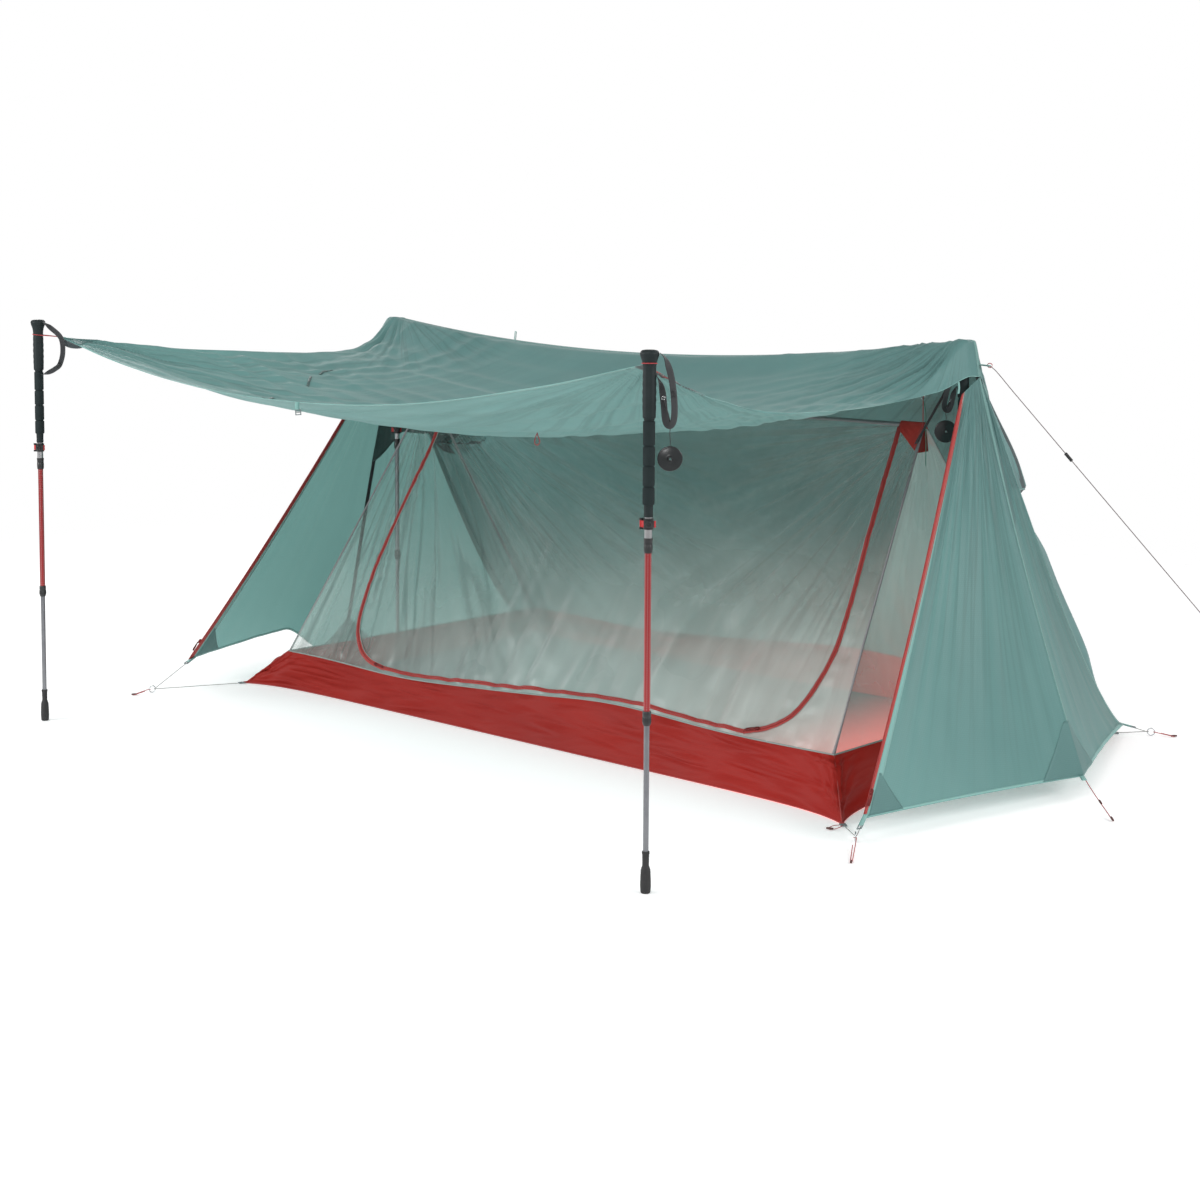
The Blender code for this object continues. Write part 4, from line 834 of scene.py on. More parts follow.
def grid_mesh(name, spot, u_steps, v_steps, flip=False):
    # A grid of spot(u, v) whose map holds the lengths along the cloth, in metres.
    points = [[spot(u, v) for u in u_steps] for v in v_steps]
    across = len(u_steps)
    down = len(v_steps)
    u_at = [[0.0] * across for _ in range(down)]
    v_at = [[0.0] * across for _ in range(down)]
    middle = across // 2
    for j in range(down):
        for i in range(1, across):
            u_at[j][i] = u_at[j][i - 1] + (points[j][i] - points[j][i - 1]).length
        centre = u_at[j][middle]
        u_at[j] = [value - centre for value in u_at[j]]
    for i in range(across):
        for j in range(1, down):
            v_at[j][i] = v_at[j - 1][i] + (points[j][i] - points[j - 1][i]).length
    faces = []
    for j in range(down - 1):
        for i in range(across - 1):
            a = j * across + i
            face = (a, a + 1, a + across + 1, a + across)
            faces.append(tuple(reversed(face)) if flip else face)
    mesh = bpy.data.meshes.new(name)
    mesh.from_pydata([point for row in points for point in row], [], faces)
    cloth_map = mesh.uv_layers.new(name="cloth")
    for corner, loop in enumerate(mesh.loops):
        j, i = divmod(loop.vertex_index, across)
        cloth_map.data[corner].uv = (u_at[j][i], v_at[j][i])
    mesh.polygons.foreach_set("use_smooth", [True] * len(faces))
    return mesh


def cloth_piece(name, spot, u_steps, v_steps, finish, slot_name="fly_cloth", flip=False, thickness=0.0,
                stands_for=None):
    made = put(name, grid_mesh(name, spot, u_steps, v_steps, flip), finish, slot_name, stands_for)
    if thickness > 0.0:
        shell = made.modifiers.new("thickness", "SOLIDIFY")
        shell.thickness = thickness
        shell.offset = 0.0
    return made


def ridge_height(x):
    # The ridge sags between its two peaks, lies flat on a pole's handle and drops at its end.
    inner = RIDGE_HALF - CAP_FLAT + 0.001
    outer = RIDGE_HALF + CAP_FLAT
    if abs(x) <= inner:
        return PEAK_Z - RIDGE_SAG * (1.0 - (x / inner) ** 2)
    if abs(x) <= outer:
        return PEAK_Z + 0.003 - 0.005 * (abs(abs(x) - RIDGE_HALF) / CAP_FLAT) ** 4
    return PEAK_Z - 0.002 - (PEAK_Z - 0.002 - CAP_EDGE_Z) * ((abs(x) - outer) / (CAP_HALF - outer)) ** 1.1


def awning_corner(sign):
    return Vector((sign * AWNING_X, AWNING_Y, AWNING_Z if sign > 0 else AWNING_LEFT_Z))


def hem_point(s):
    open_part = (1.0 - s * s) * (1.0 - 0.22 * s)
    point = awning_corner(-1).lerp(awning_corner(1), 0.5 * (s + 1.0))
    return point + Vector((0.0, HEM_INSET * (1.0 - s * s), -HEM_SAG * open_part))


def side_edge(sign, v):
    sag = SIDE_SAG_RIGHT if sign > 0 else SIDE_SAG_LEFT
    past = max(0.0, v - CAP_SHARE) / (1.0 - CAP_SHARE)
    hollow = 4.0 * past * (1.0 - past)
    x = CAP_HALF + (AWNING_X - CAP_HALF) * v - SIDE_INSET * hollow ** 0.8
    z = CAP_EDGE_Z + (awning_corner(sign).z - CAP_EDGE_Z) * v - sag * hollow
    z -= 0.02 * smooth(past / 0.08) * (1.0 - v) ** 3
    return Vector((sign * x, AWNING_Y * v - GAP * 0.5, z))


def roof_point(x, v):
    s = x / CAP_HALF
    ridge = Vector((x, -GAP * 0.5, ridge_height(x)))
    hem = hem_point(s)
    left = side_edge(-1, v)
    right = side_edge(1, v)
    t = 0.5 * (s + 1.0)
    along = ridge.lerp(hem, v)
    across = left.lerp(right, t)
    corner_a = Vector((-CAP_HALF, 0.0, CAP_EDGE_Z)).lerp(Vector((CAP_HALF, 0.0, CAP_EDGE_Z)), t)
    corner_b = awning_corner(-1).lerp(awning_corner(1), t)
    point = along + across - corner_a.lerp(corner_b, v)
    lift = ridge.z - CAP_EDGE_Z
    past = max(0.0, v - CAP_SHARE) / (1.0 - CAP_SHARE)
    point.z += lift * ((1.0 - past) ** (1.0 + 9.0 * abs(s) ** 3) - (1.0 - v))
    point.z -= AWNING_BELLY * (1.0 - s * s) * 4.0 * past * (1.0 - past)
    return point


def ridge_x(u):
    # Stations along the ridge, closer together at its two ends.
    return CAP_HALF * math.sin(math.pi * (u - 0.5)) if abs(u - 0.5) < 0.5 else math.copysign(CAP_HALF, u - 0.5)


def fan(x, y, centre, spokes, near, reach, depth, seed):
    # Wrinkles that run out from a pulled point and die away with distance.
    away = math.hypot(x - centre[0], y - centre[1])
    turn = math.atan2(y - centre[1], x - centre[0])
    wave = abs(noise_at(turn * spokes, away * 0.8, seed)) * 2.0 - 0.45
    return depth * wave * smooth((away - near) / 0.10) * math.exp(-away / reach)


def roof_fold(u, v, here):
    x, y = here.x, here.y
    ends = smooth(min(u, 1.0 - u) / 0.03) * 0.7 + 0.3
    fold = fan(x, y, (AWNING_X, AWNING_Y), 12.0, 0.02, 0.80, 0.015, 3.0)
    fold += fan(x, y, (-AWNING_X, AWNING_Y), 13.0, 0.02, 0.85, 0.014, 8.0)
    fold += fan(x, y, (RIDGE_HALF, 0.0), 9.0, 0.035, 0.42, 0.013, 13.0)
    fold += fan(x, y, (-RIDGE_HALF, 0.0), 6.0, 0.035, 0.60, 0.009, 18.0)
    body = math.sin(math.pi * min(1.0, v)) ** 0.5 * smooth(min(u, 1.0 - u) / 0.12)
    fold += 0.0100 * noise_at(x * 0.7, y * 6.0 + 0.5 * x, 23.0) * body
    fold += 0.0075 * (abs(noise_at(x * 0.9 + 0.4 * y, y * 11.0, 29.0)) * 2.0 - 0.5) * body
    fold += 0.0034 * noise_at(x * 0.6 - 0.2 * y, y * 22.0 + x, 33.0) * body
    hem = math.exp(-(1.0 - v) / 0.045)
    fold += 0.0012 * noise_at(x * 9.0, y * 2.0, 31.0) * hem
    for peak in (RIDGE_HALF, -RIDGE_HALF):
        close = math.exp(-(math.hypot(x - peak, y) / 0.13) ** 2) * smooth(v / 0.05)
        tight = 0.0070 if peak > 0.0 else 0.0020
        fold += tight * (abs(noise_at(x * 26.0, y * 15.0 + x * 9.0, 37.0)) - 0.22) * close
    return fold * ends * smooth(v / 0.025) * (0.35 + 0.65 * smooth((1.0 - v) / 0.06))


roof_spot = with_folds(lambda u, v: roof_point(ridge_x(u), v), roof_fold)
ROOF_U = steps(0.0, 1.0, 270)
ROOF_V = steps(0.0, 0.06, 9)[:-1] + steps(0.06, 1.0, 145)
roof = cloth_piece("fly_roof_panel", roof_spot, ROOF_U, ROOF_V, roof_nylon, flip=True, stands_for="fly_roof")


def rear_edge(sign, w):
    top = Vector((CAP_HALF, 0.0, CAP_EDGE_Z))
    point = top.lerp(REAR_FOOT, w)
    point.y -= REAR_BOW * w ** 1.2 * (1.0 - w) ** 0.5
    return Vector((sign * point.x, point.y, point.z))


def rear_point(x, w):
    s = x / CAP_HALF
    t = 0.5 * (s + 1.0)
    ridge = Vector((x, GAP * 0.5, ridge_height(x)))
    hem = Vector((REAR_FOOT.x * s, REAR_FOOT.y - 0.012 * (1.0 - s * s), REAR_FOOT.z + 0.022 * (1.0 - s * s)))
    left = rear_edge(-1, w)
    right = rear_edge(1, w)
    corner_a = Vector((-CAP_HALF, 0.0, CAP_EDGE_Z)).lerp(Vector((CAP_HALF, 0.0, CAP_EDGE_Z)), t)
    corner_b = Vector((-REAR_FOOT.x, REAR_FOOT.y, REAR_FOOT.z)).lerp(REAR_FOOT, t)
    point = ridge.lerp(hem, w) + (left.lerp(right, t) - corner_a.lerp(corner_b, w)) * abs(s) ** 4
    lift = ridge.z - CAP_EDGE_Z
    point.z += lift * ((1.0 - w) ** (1.0 + 9.0 * abs(s) ** 3) - (1.0 - w))
    vent = smooth((abs(s) - 0.74) / 0.16) * smooth((1.0 - abs(s)) / 0.028)
    vent *= smooth(w / 0.26) * (1.0 - smooth((w - 0.30) / 0.04))
    point.y += VENT_LIFT * vent
    bulge = smooth((abs(s) - 0.70) / 0.25) * smooth((1.0 - abs(s)) / 0.025) * smooth((w - 0.3) / 0.2)
    point.y += 0.075 * bulge * smooth((1.0 - w) / 0.25)
    return point


def rear_fold(u, v, here):
    x, z = here.x, here.z
    inside = smooth(min(u, 1.0 - u) / 0.03)
    fold = fan(x, z, (RIDGE_HALF, PEAK_Z), 11.0, 0.04, 0.85, 0.018, 43.0)
    fold += fan(x, z, (-RIDGE_HALF, PEAK_Z), 11.0, 0.04, 0.85, 0.018, 47.0)
    fold += fan(x, z, (REAR_FOOT.x, REAR_FOOT.z), 9.0, 0.03, 0.45, 0.011, 53.0)
    fold += fan(x, z, (-REAR_FOOT.x, REAR_FOOT.z), 9.0, 0.03, 0.45, 0.011, 57.0)
    inner = math.sin(math.pi * min(1.0, v)) ** 0.6
    fold += 0.0085 * noise_at(x * 5.0, z * 1.1 + 0.3 * x, 61.0) * inner
    fold += 0.0040 * (abs(noise_at(x * 9.0, z * 1.6 - 0.4 * x, 65.0)) * 2.0 - 0.5) * inner
    return fold * inside * smooth(v / 0.025) * (0.35 + 0.65 * smooth((1.0 - v) / 0.1))


rear_spot = with_folds(lambda u, v: rear_point(ridge_x(u), v), rear_fold)
REAR_U = steps(0.0, 1.0, 190)
REAR_V = steps(0.0, 0.06, 7)[:-1] + steps(0.06, 1.0, 112)
rear = cloth_piece("fly_rear_panel", rear_spot, REAR_U, REAR_V, rear_nylon, stands_for="fly_rear")


def end_wall_point(t, w, lift=0.0):
    # Right end wall: t runs 0 front edge, 0.5 middle seam, 1 rear edge, and w from top to hem.
    crown = Vector((CAP_HALF, -GAP - CLOTH, CAP_EDGE_Z - 2.0 * GAP))
    if t <= 0.5:
        u = t * 2.0
        top = ZIP_TOP.lerp(crown, u)
        foot = FRONT_FOOT.lerp(END_FOOT, u)
        foot.z += 0.004 * 4.0 * u * (1.0 - u)
    else:
        u = t * 2.0 - 1.0
        top = crown.lerp(rear_edge(1, SEAM_TOP), u)
        foot = END_FOOT.lerp(REAR_FOOT, u)
        foot.z += 0.010 * 4.0 * u * (1.0 - u)
    point = top.lerp(foot, w)
    bow = 4.0 * w * (1.0 - w)
    point.x -= 0.012 * bow * (1.0 - abs(2.0 * t - 1.0))
    point.y += 0.016 * bow * max(0.0, 1.0 - 4.0 * t)
    if t > 0.5:
        edge = rear_edge(1, SEAM_TOP + (1.0 - SEAM_TOP) * w)
        straight = rear_edge(1, SEAM_TOP).lerp(REAR_FOOT, w)
        point += (edge - straight) * u
        point += Vector((GAP, -GAP - CLOTH * (1.0 - w) ** 3, -GAP)) * u
    fold = math.sin(2.0 * math.pi * 4.0 * t) * math.sin(math.pi * t) ** 0.5
    point.x += 0.0035 * fold * (1.0 - w) * smooth(w / 0.1)
    point.z += lift * w ** 3 * (0.35 + 0.65 * math.sin(math.pi * t)) * smooth((1.0 - t) / 0.4)
    return point


def end_fold(seed, depth):
    def fold(u, v, here):
        inside = smooth(min(u, 1.0 - u) / 0.05) * smooth(abs(u - 0.5) / 0.04 + 0.35)
        turn = u * 9.0
        wave = 0.6 * noise_at(turn, v * 0.7, seed) + 0.4 * noise_at(turn * 2.3, v * 0.9, seed + 5.0)
        sharp = abs(noise_at(turn * 1.9, v * 0.5, seed + 9.0)) - 0.2
        taper = smooth(v / 0.12) * (0.30 + 0.70 * smooth((1.0 - v) / 0.6))
        hem = 0.0026 * noise_at(u * 16.0, v, seed + 11.0) * smooth((v - 0.85) / 0.15)
        return depth * (0.0150 * wave + 0.0150 * sharp) * inside * taper + hem
    return fold


def end_spot(sign, fold):
    raised = 0.0 if sign > 0 else LEFT_HEM_LIFT

    def base(u, v):
        point = end_wall_point(u, v, raised)
        if sign < 0:
            # Behind its raised front half the left hem hangs down to the ground.
            hang = v ** 4 * smooth((u - 0.31) / 0.12) * smooth((1.0 - u) / 0.10)
            point.z += (0.004 - point.z) * hang
            point.x -= 0.030 * hang
        return Vector((sign * point.x, point.y, point.z))
    return with_folds(base, fold)


END_U = steps(0.0, 1.0, 140)
END_V = steps(0.0, 1.0, 104)
end_spots = {}
for sign, side in SIDES:
    end_spots[side] = end_spot(sign, end_fold(71.0, 1.0) if sign > 0 else end_fold(91.0, 0.4))
    wall = cloth_piece("fly_end_" + side + "_panel", end_spots[side], END_U, END_V,
                       wall_nylon if sign > 0 else left_nylon, flip=sign > 0, stands_for="fly_end_" + side)

# Flysheet bindings and seams
# Every free edge is bound in mint tape with one row of stitches. The seams between the panels are felled flat,
# and the middle seam of the left end wall is taped inside in black, the right one in green.
stitch_tree, stitch_in, stitch_out = group_tree(
    "stitches", {"Vector": None, "Row": 0.003, "Pitch": 0.0032}, ("Height", "Thread"))
stitch_axes = split(stitch_tree, stitch_in["Vector"])
row_gap = math_node(stitch_tree, "ABSOLUTE",
                    math_node(stitch_tree, "SUBTRACT", stitch_axes["Y"], stitch_in["Row"]))
stitch_mask = math_node(stitch_tree, "MULTIPLY", math_node(stitch_tree, "LESS_THAN", row_gap, 0.0005),
                        every(stitch_tree, stitch_axes["X"], stitch_in["Pitch"], 0.34))
feed(stitch_tree, stitch_out, Thread=stitch_mask, Height=stitch_mask)


def tape_finish(name, dark, light, thread, roughness, row=0.0035, sheen=0.15):
    # Woven tape: fine ribs across it, clouds of tone and a row of stitches.
    made, tree, shader = new_finish(name, dark, roughness)
    place = cloth_place(tree)
    ribs = feed(tree, node(tree, "ShaderNodeTexWave", bands_direction="X"), Vector=place, Scale=320.0,
                Distortion=0.6).outputs["Fac"]
    stitches = add_group(tree, stitch_tree, Vector=place, Row=row)
    tone = add_group(tree, tone_tree, Vector=place, Crease_Scale=30.0)
    plain = mixed(tree, tone["Cloud"], dark, light)
    height = math_node(tree, "MULTIPLY_ADD", ribs, 0.4, stitches["Height"])
    feed(tree, shader, Base_Color=mixed(tree, stitches["Thread"], plain, thread), Sheen_Weight=sheen,
         Normal=bumped(tree, height, 0.5, 0.0004))
    return made


mint_tape = tape_finish("mint_tape", (0.150, 0.330, 0.305), (0.185, 0.380, 0.350), (0.24, 0.45, 0.41), 0.55)
seam_cloth = tape_finish("seam_cloth", (0.10, 0.22, 0.205), (0.13, 0.27, 0.25), (0.18, 0.34, 0.31), 0.5)
black_tape = tape_finish("black_tape", (0.014, 0.018, 0.020), (0.026, 0.031, 0.033), (0.05, 0.06, 0.06), 0.6)
zip_red = tape_finish("zip_red", (0.31, 0.025, 0.022), (0.40, 0.038, 0.033), (0.30, 0.035, 0.03), 0.6, 0.0035,
                      0.05)

HEM_TAPE = 0.007
LIFT = 0.0016


def edge_tape(*what, thickness=LIFT, **how):
    return cloth_piece(*what, thickness=thickness, **how)


def row_tape(name, rows, finish, **how):
    # A tape through rows of points.
    along, across = len(rows) - 1, len(rows[0]) - 1
    return edge_tape(name, lambda u, v: rows[round(u * along)][round(v * across)], steps(0.0, 1.0, along),
                     steps(0.0, 1.0, across), finish, **how)


def from_edge(sign, share):
    # The place along a panel at a share of its width from its right or its left edge.
    return 1.0 - share if sign > 0 else share


def turned_map(spot):
    # The same surface with its two ways swapped, for a tape that runs down the cloth.
    return lambda u, v: spot(v, u)


edge_tape("awning_hem_tape", roof_spot, ROOF_U, [1.0 - HEM_TAPE / 1.27, 1.0 - 0.4 * HEM_TAPE / 1.27, 1.0],
          mint_tape, flip=True)
for name, near, far in (("roof_edge_left_tape", 0.0, 0.012), ("roof_edge_right_tape", 1.0, 0.992)):
    edge_tape(name, turned_map(roof_spot), ROOF_V, [near, 0.5 * (near + far), far], mint_tape, flip=near > 0.5)
edge_tape("rear_hem_tape", rear_spot, REAR_U, [1.0 - HEM_TAPE / 0.95, 1.0], mint_tape)
for sign, side in SIDES:
    spot = end_spots[side]
    edge_tape("end_hem_" + side + "_tape", spot, END_U, [1.0 - HEM_TAPE / 0.97, 1.0], mint_tape, flip=sign > 0)
    edge_tape("end_front_" + side + "_tape", turned_map(spot), END_V, [0.0, 0.008, 0.016], mint_tape,
              flip=sign < 0)
    width = 0.008 if sign > 0 else 0.015
    rows = []
    for w in END_V:
        across = (spot(1.0, w) - spot(0.5, w)).length + (spot(0.5, w) - spot(0.0, w)).length
        rows.append([spot(0.5 + apart * min(0.5, width / across), w) for apart in (-0.5, 0.0, 0.5)])
    row_tape("end_middle_" + side + "_seam", rows, seam_cloth if sign > 0 else black_tape, flip=sign < 0)
    rows = []
    for down in steps(0.0, 1.0, 80):
        w = SEAM_TOP + (1.0 - SEAM_TOP) * down
        wall_in, wall_edge = spot(0.985, down), spot(1.0, down)
        back_in, back_edge = rear_spot(from_edge(sign, 0.032), w), rear_spot(from_edge(sign, 0.0), w)
        out = (wall_edge - wall_in).normalized() + (back_edge - back_in).normalized()
        if out.length > 1e-6:
            out.normalize()
        rows.append([wall_in, wall_edge.lerp(back_edge, 0.5) + out * 0.0012, back_in])
    row_tape("end_rear_" + side + "_seam", rows, seam_cloth, flip=sign < 0)
row_tape("ridge_seam", [[roof_spot(u, 0.0085), roof_spot(u, 0.0).lerp(rear_spot(u, 0.0), 0.5) + UP * 0.0012,
                         rear_spot(u, 0.0105)] for u in steps(0.0, 1.0, 180)], seam_cloth)

# Flysheet door zips
# A red coil zip runs down the front edge of each end wall, for the front panel when it is closed. Only its half
# shows, with the coil on the outer edge, a slider at the foot and mint tape where it is sewn on.
coil_tree, coil_in, coil_out = group_tree("zip_coil", {"Vector": None, "Scale": 260.0}, ("Height", "Shade"))
teeth = feed(coil_tree, node(coil_tree, "ShaderNodeTexWave", bands_direction="X", wave_profile="SIN"),
             Vector=coil_in["Vector"], Scale=coil_in["Scale"]).outputs["Fac"]
feed(coil_tree, coil_out, Height=teeth, Shade=math_node(coil_tree, "MULTIPLY_ADD", teeth, 0.45, 0.55))
coil_red, red_tree, red_shader = new_finish("coil_red", (0.40, 0.030, 0.028), 0.38)
teeth = add_group(red_tree, coil_tree, Vector=cloth_place(red_tree), Scale=200.0)
feed(red_tree, red_shader, Base_Color=mixed(red_tree, 1.0, (0.50, 0.045, 0.040), teeth["Shade"], "MULTIPLY"),
     Normal=bumped(red_tree, teeth["Height"], 1.0, 0.0008))


def mapped_tube(name, points, radius, finish, slot_name, sides=10, flat=1.0):
    # A closed tube along points, with lengths along and round it as its map.
    rows = []
    last = len(points) - 1
    for k, point in enumerate(points):
        along = (points[min(k + 1, last)] - points[max(k - 1, 0)]).normalized()
        up = UP if abs(along.z) <= 0.95 else Vector((1.0, 0.0, 0.0))
        side_way = along.cross(up).normalized()
        up_way = side_way.cross(along).normalized()
        reach = radius * (0.6 if k in (0, last) else 1.0)
        rows.append([point + side_way * math.cos(turn) * reach + up_way * math.sin(turn) * reach * flat
                     for turn in full_turn(sides)])
    mesh = ringed(name, rows)
    runs = runs_along(points)
    cloth_map = mesh.uv_layers.new(name="cloth")
    for polygon in mesh.polygons:
        last_strip = any(vertex % sides == sides - 1 for vertex in polygon.vertices)
        for corner, vertex in zip(polygon.loop_indices, polygon.vertices):
            i, j = divmod(vertex, sides)
            round_it = (sides if last_strip and j == 0 else j) / sides
            cloth_map.data[corner].uv = (runs[i], round_it * 2.0 * math.pi * radius)
    mesh.polygons.foreach_set("use_smooth", [len(polygon.vertices) == 4 for polygon in mesh.polygons])
    return put(name, mesh, finish, slot_name)


def square_to(along, out):
    # Three ways that are square to each other: along, across and out.
    along = along.normalized()
    across = out.cross(along).normalized()
    return along, across, along.cross(across).normalized()


def rounded(piece, width, segments):
    soft = piece.modifiers.new("round_edges", "BEVEL")
    soft.width = width
    soft.segments = segments


def zip_slider(name, place, along, out, size):
    # A zip slider: a waisted body and a pull tab.
    along, across, out = square_to(along, out)

    def at(run, wide, high):
        return place + (along * run + across * wide + out * high) * size
    body = []
    for z, half_long, half_wide in ((-0.0018, 0.0042, 0.0030), (0.0, 0.0055, 0.0042), (0.0020, 0.0050, 0.0036),
                                    (0.0030, 0.0036, 0.0022)):
        body.append([at(half_long * math.cos(turn), half_wide * math.sin(turn)
                        * (1.0 - 0.18 * math.exp(-(math.cos(turn) / 0.35) ** 2)), z + 0.0022)
                     for turn in full_turn(16)])
    tab = []
    for run, half, height in ((0.0035, 0.0014, 0.0056), (0.0075, 0.0016, 0.0058), (0.0150, 0.0026, 0.0050),
                              (0.0235, 0.0026, 0.0042), (0.0258, 0.0016, 0.0040)):
        tab.append([at(run, wide * half, height + high * 0.0005)
                    for wide, high in ((-1, -1), (1, -1), (1, 1), (-1, 1))])
    rounded(put(name, ringed(name, body, tab), zip_metal, "red_tape"), 0.0003, 2)


zip_metal = grained("zip_metal", (0.10, 0.012, 0.012), (0.20, 0.020, 0.020), 0.3, 0.45, 900.0, 0.00003, 0.6)
for sign, side in SIDES:
    spot = end_spots[side]
    shown = (0.60 if sign > 0 else 1.25) * ZIP_WIDTH
    edges = []
    for w in steps(0.0, 1.0, 104):
        edge = spot(0.0, w)
        edges.append((edge, (edge - spot(0.05, w)).normalized()))
    row_tape("fly_zip_" + side + "_tape", [[edge + out * (-0.004 + (shown + 0.004) * v) for v in steps(0.0, 1.0, 4)]
                                           for edge, out in edges], zip_red,
             slot_name="red_tape", thickness=0.0014, flip=sign < 0, stands_for="fly_zip_" + side)
    mapped_tube("fly_zip_" + side + "_coil", [edge + out * (shown - 0.0016) for edge, out in edges], 0.0019,
                coil_red, "red_tape")
    facing = Vector((sign, -0.25, 0.12)).normalized()
    edge, out = edges[98]
    zip_slider("fly_zip_" + side + "_slider", edge + out * (shown - 0.002) + facing * 0.001,
               edges[104][0] - edges[96][0], facing, 1.4)


# Bathtub floor
# The floor is a sewn tub of tough red coated nylon, pulled out at its four corners, with a grey ground sheet.
# Its walls ripple between the corners, and a pale piping runs round the rim where the mesh is sewn on.
TUB_X = 1.140
TUB_FRONT = -0.605
TUB_REAR = 0.682
TUB_WAIST = 0.056
TUB_END_WAIST = 0.075
TUB_LEAN = 0.048
TUB_RIM_Z = 0.118
TUB_RIM_TILT = 0.016
TUB_RIM_RISE = 0.024
TUB_RIM_DIP = 0.016

tub_nylon = cloth_finish("tub_nylon", (0.265, 0.010, 0.006), (0.335, 0.015, 0.009), (0.60, 0.04, 0.03), 0.14,
                         0.46, 0.60, (0.8, 5.0, 1.0), 0.010)
# Inside, the rear wall's right half glows red, as painted light for the light that comes through the flysheet
# behind it.
BLACK = (0.0, 0.0, 0.0)
tub_tree = tub_nylon.node_tree
tub_axes = split(tub_tree, object_place(tub_tree))
tub_painted_glow = math_node(tub_tree, "MULTIPLY", ranged(tub_tree, tub_axes["X"], 0.10, 0.80),
                    ranged(tub_tree, tub_axes["Y"], 0.38, 0.56))
dress(tub_nylon, Sheen_Weight=0.0, Specular_IOR_Level=0.22, Emission_Strength=0.55,
      Emission_Color=mixed(tub_tree, tub_painted_glow, BLACK, (0.90, 0.07, 0.06)))
ground_nylon = cloth_finish("ground_nylon", (0.085, 0.080, 0.092), (0.125, 0.115, 0.130), BLACK, 0.0, 0.45, 0.62,
                            (1.0, 1.6, 1.0), 0.006)
# Near its right end the floor turns a bright red, partly the red of the wall it is sewn to and partly painted
# light, and it glows red as painted light for the light that comes through that wall.
ground_tree = ground_nylon.node_tree
ground_red_and_glow = ranged(ground_tree, split(ground_tree, object_place(ground_tree))["X"], 0.30, 0.85)
ground_plain = ground_tree.nodes["Principled BSDF"].inputs["Base Color"].links[0].from_socket
dress(ground_nylon, Base_Color=mixed(ground_tree, ground_red_and_glow, ground_plain, (0.74, 0.115, 0.095)),
      Emission_Color=mixed(ground_tree, ground_red_and_glow, BLACK, (0.90, 0.13, 0.11)), Emission_Strength=0.85)
rim_piping = braided("rim_piping", (0.27, 0.34, 0.32), 420.0, 0.5)


def ear(distance, waist):
    return waist * (1.0 - math.exp(-distance / (1.9 * waist)))


def tub_side(side, s):
    # Point of the tub's foot outline: side front, right, rear or left, s from -1 to 1.
    if side in ("front", "rear"):
        pull = ear(TUB_X * (1.0 - abs(s)), TUB_WAIST)
        return Vector((TUB_X * s, TUB_FRONT + pull if side == "front" else TUB_REAR - pull, 0.0))
    half = 0.5 * (TUB_REAR - TUB_FRONT)
    x = TUB_X - ear(half * (1.0 - abs(s)), TUB_END_WAIST)
    return Vector((x if side == "right" else -x, TUB_FRONT + half * (1.0 + s), 0.0))


def rim_side(side, s, inset=0.0):
    # Point of the tub's rim above that outline.
    ear_in = 2.0 * TUB_LEAN
    x_half = TUB_X - ear_in - inset
    front = TUB_FRONT + ear_in + inset
    rear_y = TUB_REAR - ear_in - inset
    share = {"right": 1.0, "left": -1.0}.get(side, s)
    rise = TUB_RIM_Z + TUB_RIM_TILT * share
    if side in ("front", "rear"):
        inside = 1.0 - abs(s) ** 6
        rise += inside * TUB_RIM_RISE * math.exp(-((s - 0.3) / 0.28) ** 2)
        rise -= inside * TUB_RIM_DIP * math.exp(-((s + 0.5) / 0.28) ** 2)
    if side == "front":
        return Vector((x_half * s, front, rise))
    if side == "rear":
        return Vector((x_half * s, rear_y, rise))
    x = x_half - 0.006 * (1.0 - s * s)
    return Vector((x if side == "right" else -x, front + (rear_y - front) * 0.5 * (1.0 + s), rise))


SIDE_STEPS = {"front": 130, "right": 76, "rear": 130, "left": 76}
TUB_ROUND = []
for side in ("front", "right", "rear", "left"):
    for k in range(SIDE_STEPS[side]):
        s = math.sin(0.5 * math.pi * (2.0 * k / SIDE_STEPS[side] - 1.0))
        TUB_ROUND.append((side, -s if side in ("rear", "left") else s))


def tub_base(u, v):
    # u runs round the tub from its front left corner, v from the foot to the rim.
    run = (u % 1.0) * len(TUB_ROUND)
    k = int(run) % len(TUB_ROUND)
    part = run - int(run)
    here = []
    for side, s in (TUB_ROUND[k], TUB_ROUND[(k + 1) % len(TUB_ROUND)]):
        here.append(tub_side(side, s).lerp(rim_side(side, s), v))
    return here[0].lerp(here[1], part) + Vector((0.0, 0.0, 0.0006 * (1.0 - v)))


def tub_fold(u, v, here):
    side, s = TUB_ROUND[int(u * len(TUB_ROUND)) % len(TUB_ROUND)]
    run = here.x if side in ("front", "rear") else here.y
    near_corner = math.exp(-(1.0 - abs(s)) / 0.10)
    middle = smooth(v / 0.25) * smooth((1.0 - v) / 0.12)
    lean = run * 3.2 + v * 0.9 * (1.0 if s > 0.0 else -1.0)
    fold = 0.0100 * noise_at(lean, v * 2.0, 5.0) + 0.0055 * noise_at(run * 8.0 - v * 1.5, v * 3.0, 9.0)
    fold += 0.010 * (abs(noise_at(run * 2.5, v * 5.0 + abs(run) * 2.0, 14.0)) - 0.2) * (0.4 + near_corner)
    if side in ("front", "rear"):
        from_corner = TUB_X - abs(here.x)
    else:
        from_corner = min(abs(here.y - TUB_FRONT), abs(TUB_REAR - here.y))
    pulled_up = fan(from_corner, here.z, (0.0, -0.004), 5.0, 0.0, 0.16, 0.022, 51.0)
    return fold * middle + pulled_up * smooth(v / 0.12) * smooth((1.0 - v) / 0.10)


